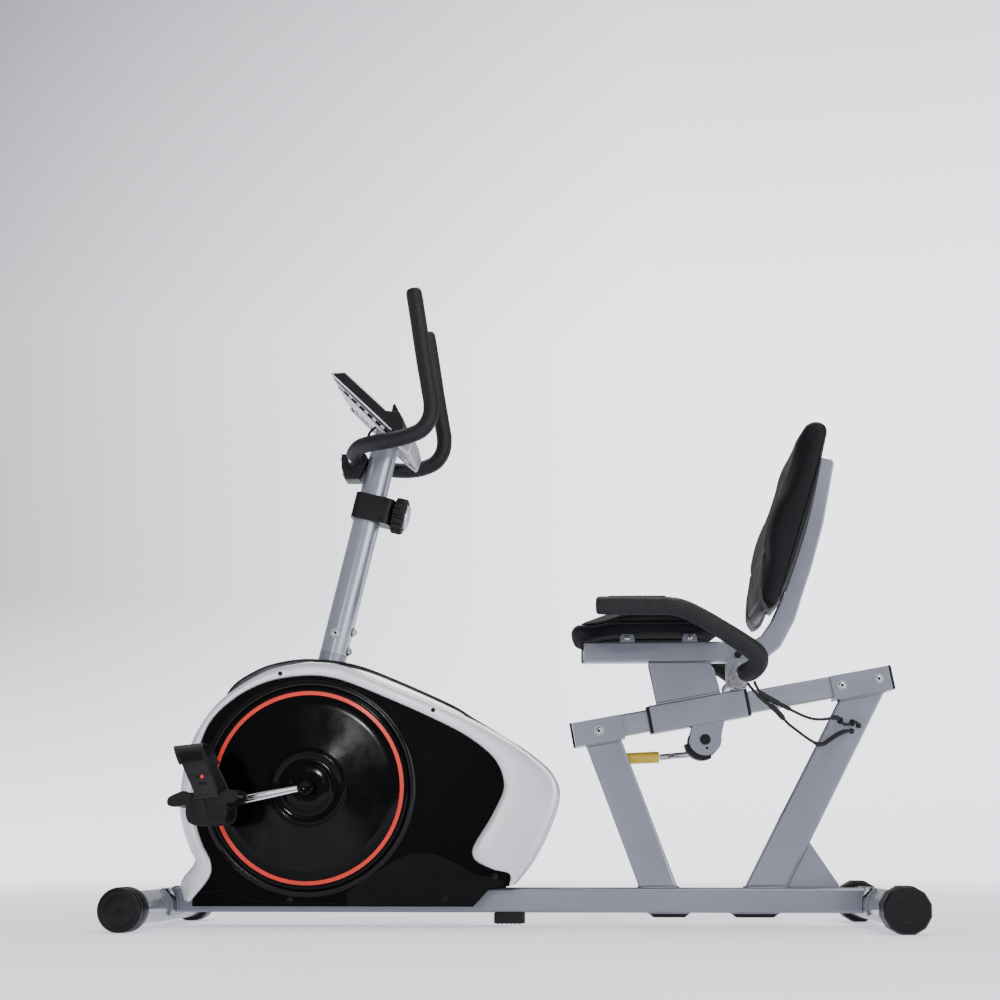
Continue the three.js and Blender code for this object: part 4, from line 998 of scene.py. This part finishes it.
def side_handles():
    line = spline(SIDE_BAR, 180)

    def grip(side, word):
        data = swept(line, lambda t: 16.2 - 2.0 * max(0.0, 1 - t * 60) ** 2 + 1.4 * smoothstep(0.55, 0.8, t)
                     - 2.4 * max(0.0, (t - 0.97) * 33) ** 2, 40)
        stand_in(f"side_grip_{word}", [sided(data, side)], FOAM, 60)
        plug = moved(turned([(0, -1), (12.6, -1), (13, 0.3), (12, 1.4), (3, 1.9), (2.4, 1.4), (0, 1.4)], 40),
                     line[0], (-1, 0, 0))
        detail("carriage", SATIN, sided(plug, side))
        # pulse sensor plates, curved over the top and the underside of the grip
        for a0, a1 in ((50, 112), (256, 296)):
            rings = []
            for x in (172, 173, 173.6, 222, 271.4, 272, 273):
                r = 16.3 if x in (172, 273) else 17.2
                mid = 565 - max(x - 250, 0) * 0.025
                there = [(r, a0 + (a1 - a0) * k / 18) for k in range(19)]
                back_again = [(15.9, a1 - (a1 - a0) * k / 18) for k in range(19)]
                rings.append([(x, -232 + q * cos(radians(a)), mid + q * sin(radians(a)))
                              for q, a in there + back_again])
            detail("carriage", IRON, sided(loft(rings), side))
        end = Vector(line[-1])
        out = (line[-1] - line[-4]).normalized()
        detail("carriage", CLAMP,
               sided(moved(turned([(12.6, -2), (14.8, -2), (15.2, 1), (14.2, 3.4), (12.6, 3.6)], 40), end, out),
                     side))
    mirrored(grip)


LEAD_A = [(429, -187, 433), (432, -180, 428), (438, -172, 419), (447, -165, 411), (463, -157, 403),
          (480, -149, 395), (499, -140, 386), (510, -135, 381), (520, -130, 377), (535, -120, 373),
          (549, -110, 372), (566, -92, 374), (580, -74, 378), (590, -60, 378), (598, -50, 372), (607, -44, 367),
          (616, -38, 369), (625, -31, 373), (632, -25, 370), (634, -19.7, 367)]
LEAD_B = [(418, -180, 431), (424, -174, 424), (436, -168, 412), (452, -160, 399), (470, -150, 385),
          (481, -146, 373), (493, -140, 361), (508, -128, 351), (522, -115, 342), (537, -100, 334), (550, -86, 329),
          (561, -76, 330), (571, -66, 336), (582, -56, 343), (594, -46, 350), (606, -36, 355), (615, -28, 357),
          (621, -19.7, 357)]


def sleeve_of(line, start, end, r, ends=0.12):
    """A moulded sleeve over part of a lead, tapered at both ends."""
    part = line[int(start * 119):int(end * 119) + 1]
    return swept(part, lambda t: 2.9 + (r - 2.9) * min(1.0, t / ends, (1 - t) / ends), 20)


def leads():
    sleeves = {"pulse_lead_a": ((0.10, 0.26, 5.0), (0.26, 0.335, 4.0), (0.70, 0.80, 4.6)),
               "pulse_lead_b": ((0.10, 0.20, 4.0), (0.20, 0.33, 5.0), (0.62, 0.95, 4.2))}
    for name, path in (("pulse_lead_a", LEAD_A), ("pulse_lead_b", LEAD_B)):
        line = spline(path, 120)
        tube = build(f"{name}_look", [swept(line, 2.6, 16)], RUBBER, None, 0, 1, 60, (name,))
        plug = build(f"{name}_plug", [sleeve_of(line, *s) for s in sleeves[name]], RUBBER, None, 0, 1, 60, ())
        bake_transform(tube)
        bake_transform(plug)
        lathe("frame", RUBBER, [(0, -1.2), (4.6, -1.2), (5.2, 0.2), (4.2, 1.2), (3.0, 1.6), (0, 1.6)], 32,
              (path[-1][0], -18.0, path[-1][2]), (0, -1, 0))
    # zip tie heads and the wound slack where both leads meet the upright
    for x, y, z in ((596, -52, 374), (620, -35, 371)):
        lathe("frame", RUBBER, [(3.0, -2), (6.2, -2), (6.6, 0), (6.2, 2), (3.0, 2)], 20, (x, y, z), (1, 0.7, -0.2))


# ------------------------------------------------------------------ cushions
VOXEL = 0.0055          # remesh size, in metres
MOST_SWELL = 0.0045     # furthest a point may move when a cushion is puffed
CLOTH_FRAMES = 20
CLOTH = {"quality": 4, "mass": 0.3, "tension_stiffness": 40, "compression_stiffness": 30, "shear_stiffness": 20,
         "bending_stiffness": 4, "use_pressure": True, "uniform_pressure_force": 4.0, "vertex_group_mass": "held"}


def smoothstep(a, b, x):
    t = min(max((x - a) / (b - a), 0.0), 1.0)
    return t * t * (3 - 2 * t)


def stuffed(node, shape, pinned):
    """Cushion: reshaped copy, remeshed, puffed by a short cloth simulation, then subdivided once."""
    mesh = nodes[node].data.copy()
    obj = bpy.data.objects.new(node + "_look", mesh)
    bpy.context.scene.collection.objects.link(obj)
    remesh = obj.modifiers.new("remesh", "REMESH")
    remesh.mode = "VOXEL"
    remesh.voxel_size = VOXEL
    obj.data = bake(obj)
    obj.modifiers.clear()
    for v in obj.data.vertices:
        v.co = shape(v.co / MM) * MM
    relax(obj, 3)
    rest = [v.co.copy() for v in obj.data.vertices]
    group = obj.vertex_groups.new(name="held")
    for v in obj.data.vertices:
        weight = pinned(v.co / MM)
        if weight > 0:
            group.add([v.index], weight, "REPLACE")
    cloth = obj.modifiers.new("cloth", "CLOTH")
    for key, value in CLOTH.items():
        setattr(cloth.settings, key, value)
    cloth.settings.effector_weights.gravity = 0
    cloth.collision_settings.use_collision = False
    cloth.point_cache.frame_start = 1
    cloth.point_cache.frame_end = CLOTH_FRAMES
    for f in range(1, CLOTH_FRAMES + 1):
        bpy.context.scene.frame_set(f)
        bpy.context.view_layer.update()
    obj.data = bake(obj)
    obj.modifiers.clear()
    bpy.context.scene.frame_set(1)
    for v, home in zip(obj.data.vertices, rest):
        step = v.co - home
        if step.length > MOST_SWELL:
            v.co = home + step * (MOST_SWELL / step.length)
    relax(obj, 4)
    subdivide = obj.modifiers.new("smooth", "SUBSURF")
    subdivide.levels = 1
    obj.data = bake(obj)
    obj.modifiers.clear()
    obj.vertex_groups.clear()
    for poly in obj.data.polygons:
        poly.use_smooth = True
    obj.data.materials.clear()
    obj.data.materials.append(VINYL)
    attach(obj, "carriage")
    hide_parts(node)
    return obj


def bake(obj):
    graph = bpy.context.evaluated_depsgraph_get()
    return bpy.data.meshes.new_from_object(obj.evaluated_get(graph), depsgraph=graph)


def relax(obj, rounds):
    bm = bmesh.new()
    bm.from_mesh(obj.data)
    for _ in range(rounds):
        bmesh.ops.smooth_vert(bm, verts=bm.verts, factor=0.5, use_axis_x=True, use_axis_y=True, use_axis_z=True)
    bm.to_mesh(obj.data)
    bm.free()


def channel(obj, flat, lines, depth, width, facing):
    """Press stitched channels into the faces whose normal has a positive facing value."""
    segs = [(Vector(a), Vector(b)) for line in lines for a, b in zip(line, line[1:])]
    for v in obj.data.vertices:
        turn = facing(v.normal)
        if turn <= 0.25:
            continue
        p = flat(v.co / MM)
        best = 1e9
        for a, b in segs:
            ab = b - a
            t = min(max((p - a).dot(ab) / ab.length_squared, 0.0), 1.0)
            best = min(best, (p - a - ab * t).length)
            if best < 0.2:
                break
        if best < width * 3:
            v.co -= v.normal * (depth * MM * exp(-(best / width) ** 2))


def on_surface(obj, points, direction, lift):
    """Drop points on the cushion along a direction."""
    out = []
    for p in points:
        origin = Vector(p) * MM - Vector(direction) * 0.2
        hit, place, normal, _ = obj.ray_cast(origin, Vector(direction))
        if hit:
            out.append(place / MM + normal * lift)
    return out


def stitches(cushion, points, direction):
    """Short threads along points dropped on the cushion."""
    laid = on_surface(cushion, points, direction, 0.1)
    for a, b in zip(laid, laid[1:]):
        if (b - a).length < 20:
            detail("carriage", RUBBER, swept([a.lerp(b, 0.15), a.lerp(b, 0.8)], 0.55, 6))


PLAN = [(106, 0), (108, -80), (118, -140), (150, -182), (200, -197), (290, -199), (338, -191), (366, -164),
        (379, -80), (383, 0), (379, 80), (366, 164), (338, 191), (290, 199), (200, 197), (150, 182), (118, 140),
        (108, 80)]


def plan_line(count, grow=1.0):
    return [((p.x - 248) * grow + 248, p.y * grow) for p in spline([(x, y, 0) for x, y in PLAN], count, True)]


def tray_bottom(x, y):
    sag = 15 + 14 * (1 - smoothstep(110, 270, x)) + 13 * smoothstep(320, 380, x)
    return 540.6 - 13 * (1 - smoothstep(104, 184, x)) - smoothstep(140, 192, abs(y)) * sag


def tray_top(x, y):
    return 552 - 14 * (1 - smoothstep(104, 186, x)) - 15 * smoothstep(138, 195, abs(y)) - 6 * smoothstep(330, 384,
                                                                                                         x)


def seat():
    rim = plan_line(200)
    rings = []
    for share, lift in ((0.02, 0), (0.3, 0), (0.5, 0), (0.62, 0), (0.72, 0), (0.8, 0), (0.86, 0), (0.91, 0),
                        (0.95, 0), (0.975, 0.6), (0.99, 2.2), (0.998, 5), (1.002, 9), (1.002, 13), (0.998, 17),
                        (0.985, 60), (0.93, 60), (0.85, 60), (0.7, 60), (0.5, 60), (0.25, 60), (0.02, 60)):
        ring = []
        for x, y in rim:
            px, py = 248 + (x - 248) * share, y * share
            low, high = tray_bottom(px, py), tray_top(px, py)
            ring.append((px, py, min(low + lift, high - 0.2)))
        rings.append(ring)
    stand_in("seat_tray", [loft(rings)], TRAY)
    for y in (-120, -70, 70, 120):
        rib = [(x, y, tray_bottom(x, y) - 0.6) for x in range(140, 360, 10)]
        detail("carriage", TRAY, swept(rib, 2.0, 8))

    def shape(p):
        x, y, z = p
        top = smoothstep(0, 12, z - tray_top(x, y))
        dish = (1 - smoothstep(20, 140, abs(y))) * smoothstep(170, 240, x) * (1 - smoothstep(300, 370, x))
        return Vector((x, y, z - 5 * top * dish))
    cushion = stuffed("seat_cushion", shape, lambda p: 1.0 if p.z < tray_top(p.x, p.y) + 4 else 0.0)
    inner = plan_line(110, 0.76)
    inner.append(inner[0])
    channel(cushion, lambda p: Vector((p.x, p.y)), [inner, [(170, -48), (345, -48)], [(170, 48), (345, 48)]], 2.4,
            3.0, lambda n: n.z)
    stitches(cushion, [(x, y, 640) for x, y in inner], (0, 0, -1))
    piping = [(x, y, tray_top(x, y) + 0.8) for x, y in plan_line(220)]
    piping.append(piping[0])
    detail("carriage", VINYL, swept(piping, 2.0, 10))


BACK_LINE = [(573.5, 872), (554, 783), (531, 700), (498, 607), (489, 587)]


def back():
    def board():
        line = plane_line(BACK_LINE, 40)
        rings = []
        for i, (x, z) in enumerate(line):
            a, b = line[max(i - 1, 0)], line[min(i + 1, 39)]
            t = Vector((b[0] - a[0], 0, b[1] - a[1])).normalized()
            out = Vector((t.z, 0, -t.x))
            if out.x > 0:
                out = -out
            ring = []
            end = min(i, 39 - i)
            wide = 112 - (10 if end == 0 else 4 if end == 1 else 0)
            for y, h in ((-1, 9.5), (-1, 5), (-0.985, 2.2), (-0.95, 1.4), (-0.5, 1.2), (-0.16, 1.2), (0.16, 1.2),
                         (0.5, 1.2), (0.95, 1.4), (0.985, 2.2), (1, 5), (1, 9.5), (0.97, 12), (-0.97, 12)):
                p = Vector((x, 0, z)) + out * h
                p.y = y * wide
                ring.append(p)
            rings.append(ring)
        stand_in("back_board", [loft(rings)], SATIN)
        for y in (-30, 30):
            for k in (5, 14, 26, 35):
                x, z = line[k]
                socket_bolt((x - 0.9, y, z), (0.96, 0, -0.27), 5.0, True, "carriage")
        for y in (-90, -60, 60, 90):
            pts = [(x - 0.4, y, z) for x, z in line[3:37]]
            detail("carriage", SATIN, swept(pts, 1.6, 8))
    board()
    axis = (Vector((574, 0, 868)) - Vector((481, 0, 573))).normalized()
    facing = Vector((-axis.z, 0, axis.x))
    low = Vector((481, 0, 573))

    def local(p):
        d = p - low
        return d.dot(axis), p.y, d.dot(facing)

    def shape(p):
        u, y, w = local(p)
        front = smoothstep(16, 44, w)
        dish = (1 - smoothstep(10, 150, abs(y))) * smoothstep(0, 70, u) * (1 - smoothstep(260, 330, u))
        p = p + facing * (front * -7 * dish)
        wrap = smoothstep(114, 126, abs(y)) * (1 - front)
        return p - facing * (9 * wrap)
    cushion = stuffed("back_cushion", shape, lambda p: 1.0 if local(p)[2] < 19 else 0.0)
    outline = [(4, -112), (16, -140), (80, -150), (180, -148), (270, -134), (296, -108), (304, 0)]
    outline = outline + [(u, -y) for u, y in reversed(outline[:-1])]
    loop = [(p.x, p.y) for p in spline([(u, y, 0) for u, y in outline], 90, True)]
    loop.append(loop[0])
    channel(cushion, lambda p: Vector((local(p)[0], p.y)),
            [loop, [(90, -150), (90, 150)], [(200, -146), (200, 146)]], 2.4, 3.2, lambda n: n.dot(facing))
    # the shell edge that shows as a thin line behind the padding, on both sides
    for side in (-1, 1):
        spots = [low + axis * u + facing * (7.5 + 1.5 * smoothstep(200, 300, u)) for u in range(12, 316, 8)]
        pts = on_surface(cushion, [(p.x, 260 * side, p.z) for p in spots], (0, -side, 0), 0.2)
        detail("carriage", GROOVE, swept(pts, 1.7, 8))
    spots = [(low + axis * u + Vector((0, y, 0)) + facing * 150) for u, y in loop]
    stitches(cushion, spots, tuple(-facing))


# ------------------------------------------------------------------ stage, light and camera
BACKDROP = 2.75                        # strength of the backdrop's glow
HORIZON = (0.92, 0.925, 1.02)          # its colour where it meets the floor


def staged(name, rings, mat):
    """A surface of the studio, which is no part of the bike."""
    verts, faces = loft(rings, True, False)
    mesh = bpy.data.meshes.new(name)
    mesh.from_pydata([tuple(v) for v in verts], [], faces)
    mesh.materials.append(mat)
    obj = bpy.data.objects.new(name, mesh)
    bpy.context.scene.collection.objects.link(obj)
    return obj


def dome():
    """Pale studio backdrop: a dome that only the camera sees."""
    g = Graph("dome")
    glow = g.node("ShaderNodeEmission")
    split = g.node("ShaderNodeSeparateXYZ")
    g.link(g.coord, split.inputs["Vector"])
    side = g.span(split.outputs["X"], 0.0, 1.0, -21.0, 2.0)
    low = g.span(split.outputs["Z"], 1.0, 0.0, 18.0, 34.0)
    upper = g.mix(side, (0.046, 0.046, 0.052), (0.44, 0.442, 0.485))
    sweep = g.mix(low, upper, g.mix(side, (0.35, 0.35, 0.385), (1.04, 1.045, 1.155)))
    skyline = g.span(split.outputs["Z"], 0.0, 1.0, 0.0, 9.0)
    g.link(g.mix(skyline, HORIZON, sweep), glow.inputs["Color"])
    glow.inputs["Strength"].default_value = BACKDROP
    g.link(glow.outputs[0], g.tree.nodes["Material Output"].inputs["Surface"])
    tilts = (-89, -60, -30, -10, 0, 10, 20, 30, 45, 60, 75, 89)
    obj = staged("dome", circles([(60 * cos(radians(e)), 60 * sin(radians(e))) for e in tilts], 64), g.mat)
    for ray in ("diffuse", "glossy", "transmission", "volume_scatter", "shadow"):
        setattr(obj, "visible_" + ray, False)


def ground():
    """Pale floor that runs into the backdrop's glow with distance."""
    g = Graph("floor")
    dist = g.node("ShaderNodeVectorMath", operation="LENGTH")
    g.link(g.coord, dist.inputs[0])
    far = g.span(dist.outputs["Value"], 0.25, 1.0, 0.9, 6.0)
    soft = g.mix(g.span(g.noise(1.2, 3.0), 0.0, 1.0), (0.93, 0.935, 0.98), (0.95, 0.955, 0.99))
    g.link(soft, g.bsdf.inputs["Base Color"])
    g.bsdf.inputs["Roughness"].default_value = 0.55
    g.bsdf.inputs["Specular IOR Level"].default_value = 0.25
    glow = g.node("ShaderNodeEmission")
    glow.inputs["Color"].default_value = (*HORIZON, 1)
    glow.inputs["Strength"].default_value = BACKDROP
    blend = g.node("ShaderNodeMixShader")
    g.link(far, blend.inputs[0])
    g.link(g.bsdf.outputs[0], blend.inputs[1])
    g.link(glow.outputs[0], blend.inputs[2])
    g.link(blend.outputs[0], g.tree.nodes["Material Output"].inputs["Surface"])
    staged("floor", circles([(r, 0) for r in (0.01, 1, 3, 6, 12, 40)], 48), g.mat).location.z = -0.0004


# Lamps: name, place, point aimed at, size, watts.
LAMPS = (("key", (1.3, -3.0, 3.0), (0, 0, 0.5), (2.2, 1.4), 60),
         ("right", (3.4, -3.2, 1.3), (0.1, 0, 0.4), (2.4, 2.2), 62),
         ("top", (0.2, 0.9, 3.6), (0, 0, 0.3), (3.4, 2.2), 85),
         ("softbox", (-0.69, -3.9, 0.775), (-0.3, 0, 0.3), (0.13, 0.11), 8.5))
CAMERA_AT = (0.1447, -3.2709, 0.1387)
CAMERA_YAW, CAMERA_PITCH = 3.075, 8.835


def stage():
    dome()
    ground()
    world = bpy.data.worlds.new("studio")
    bpy.context.scene.world = world
    world.use_nodes = True
    back = world.node_tree.nodes["Background"]
    back.inputs["Color"].default_value = (0.80, 0.80, 0.83, 1)
    back.inputs["Strength"].default_value = 0.62

    for name, place, target, size, power in LAMPS:
        light = bpy.data.lights.new(name, "AREA")
        light.shape = "RECTANGLE"
        light.size, light.size_y = size
        light.energy = power
        obj = bpy.data.objects.new(name, light)
        obj.location = place
        obj.rotation_euler = (Vector(target) - Vector(place)).to_track_quat("-Z", "Y").to_euler()
        bpy.context.scene.collection.objects.link(obj)

    camera = bpy.data.cameras.new("camera")
    camera.sensor_width = 36.0
    camera.lens = 62.65
    camera.shift_y = 0.08
    camera.clip_start, camera.clip_end = 0.05, 200
    obj = bpy.data.objects.new("camera", camera)
    yaw, pitch = radians(CAMERA_YAW), radians(CAMERA_PITCH)
    look = Vector((-sin(yaw) * cos(pitch), cos(yaw) * cos(pitch), sin(pitch)))
    obj.location = CAMERA_AT
    obj.rotation_euler = look.to_track_quat("-Z", "Y").to_euler()
    bpy.context.scene.collection.objects.link(obj)
    bpy.context.scene.camera = obj


for make in (feet, uprights, mast_group, handlebar, console, shroud, drive, pedals, carriage, side_handles,
             leads, seat, back, build_details, stage):
    make()
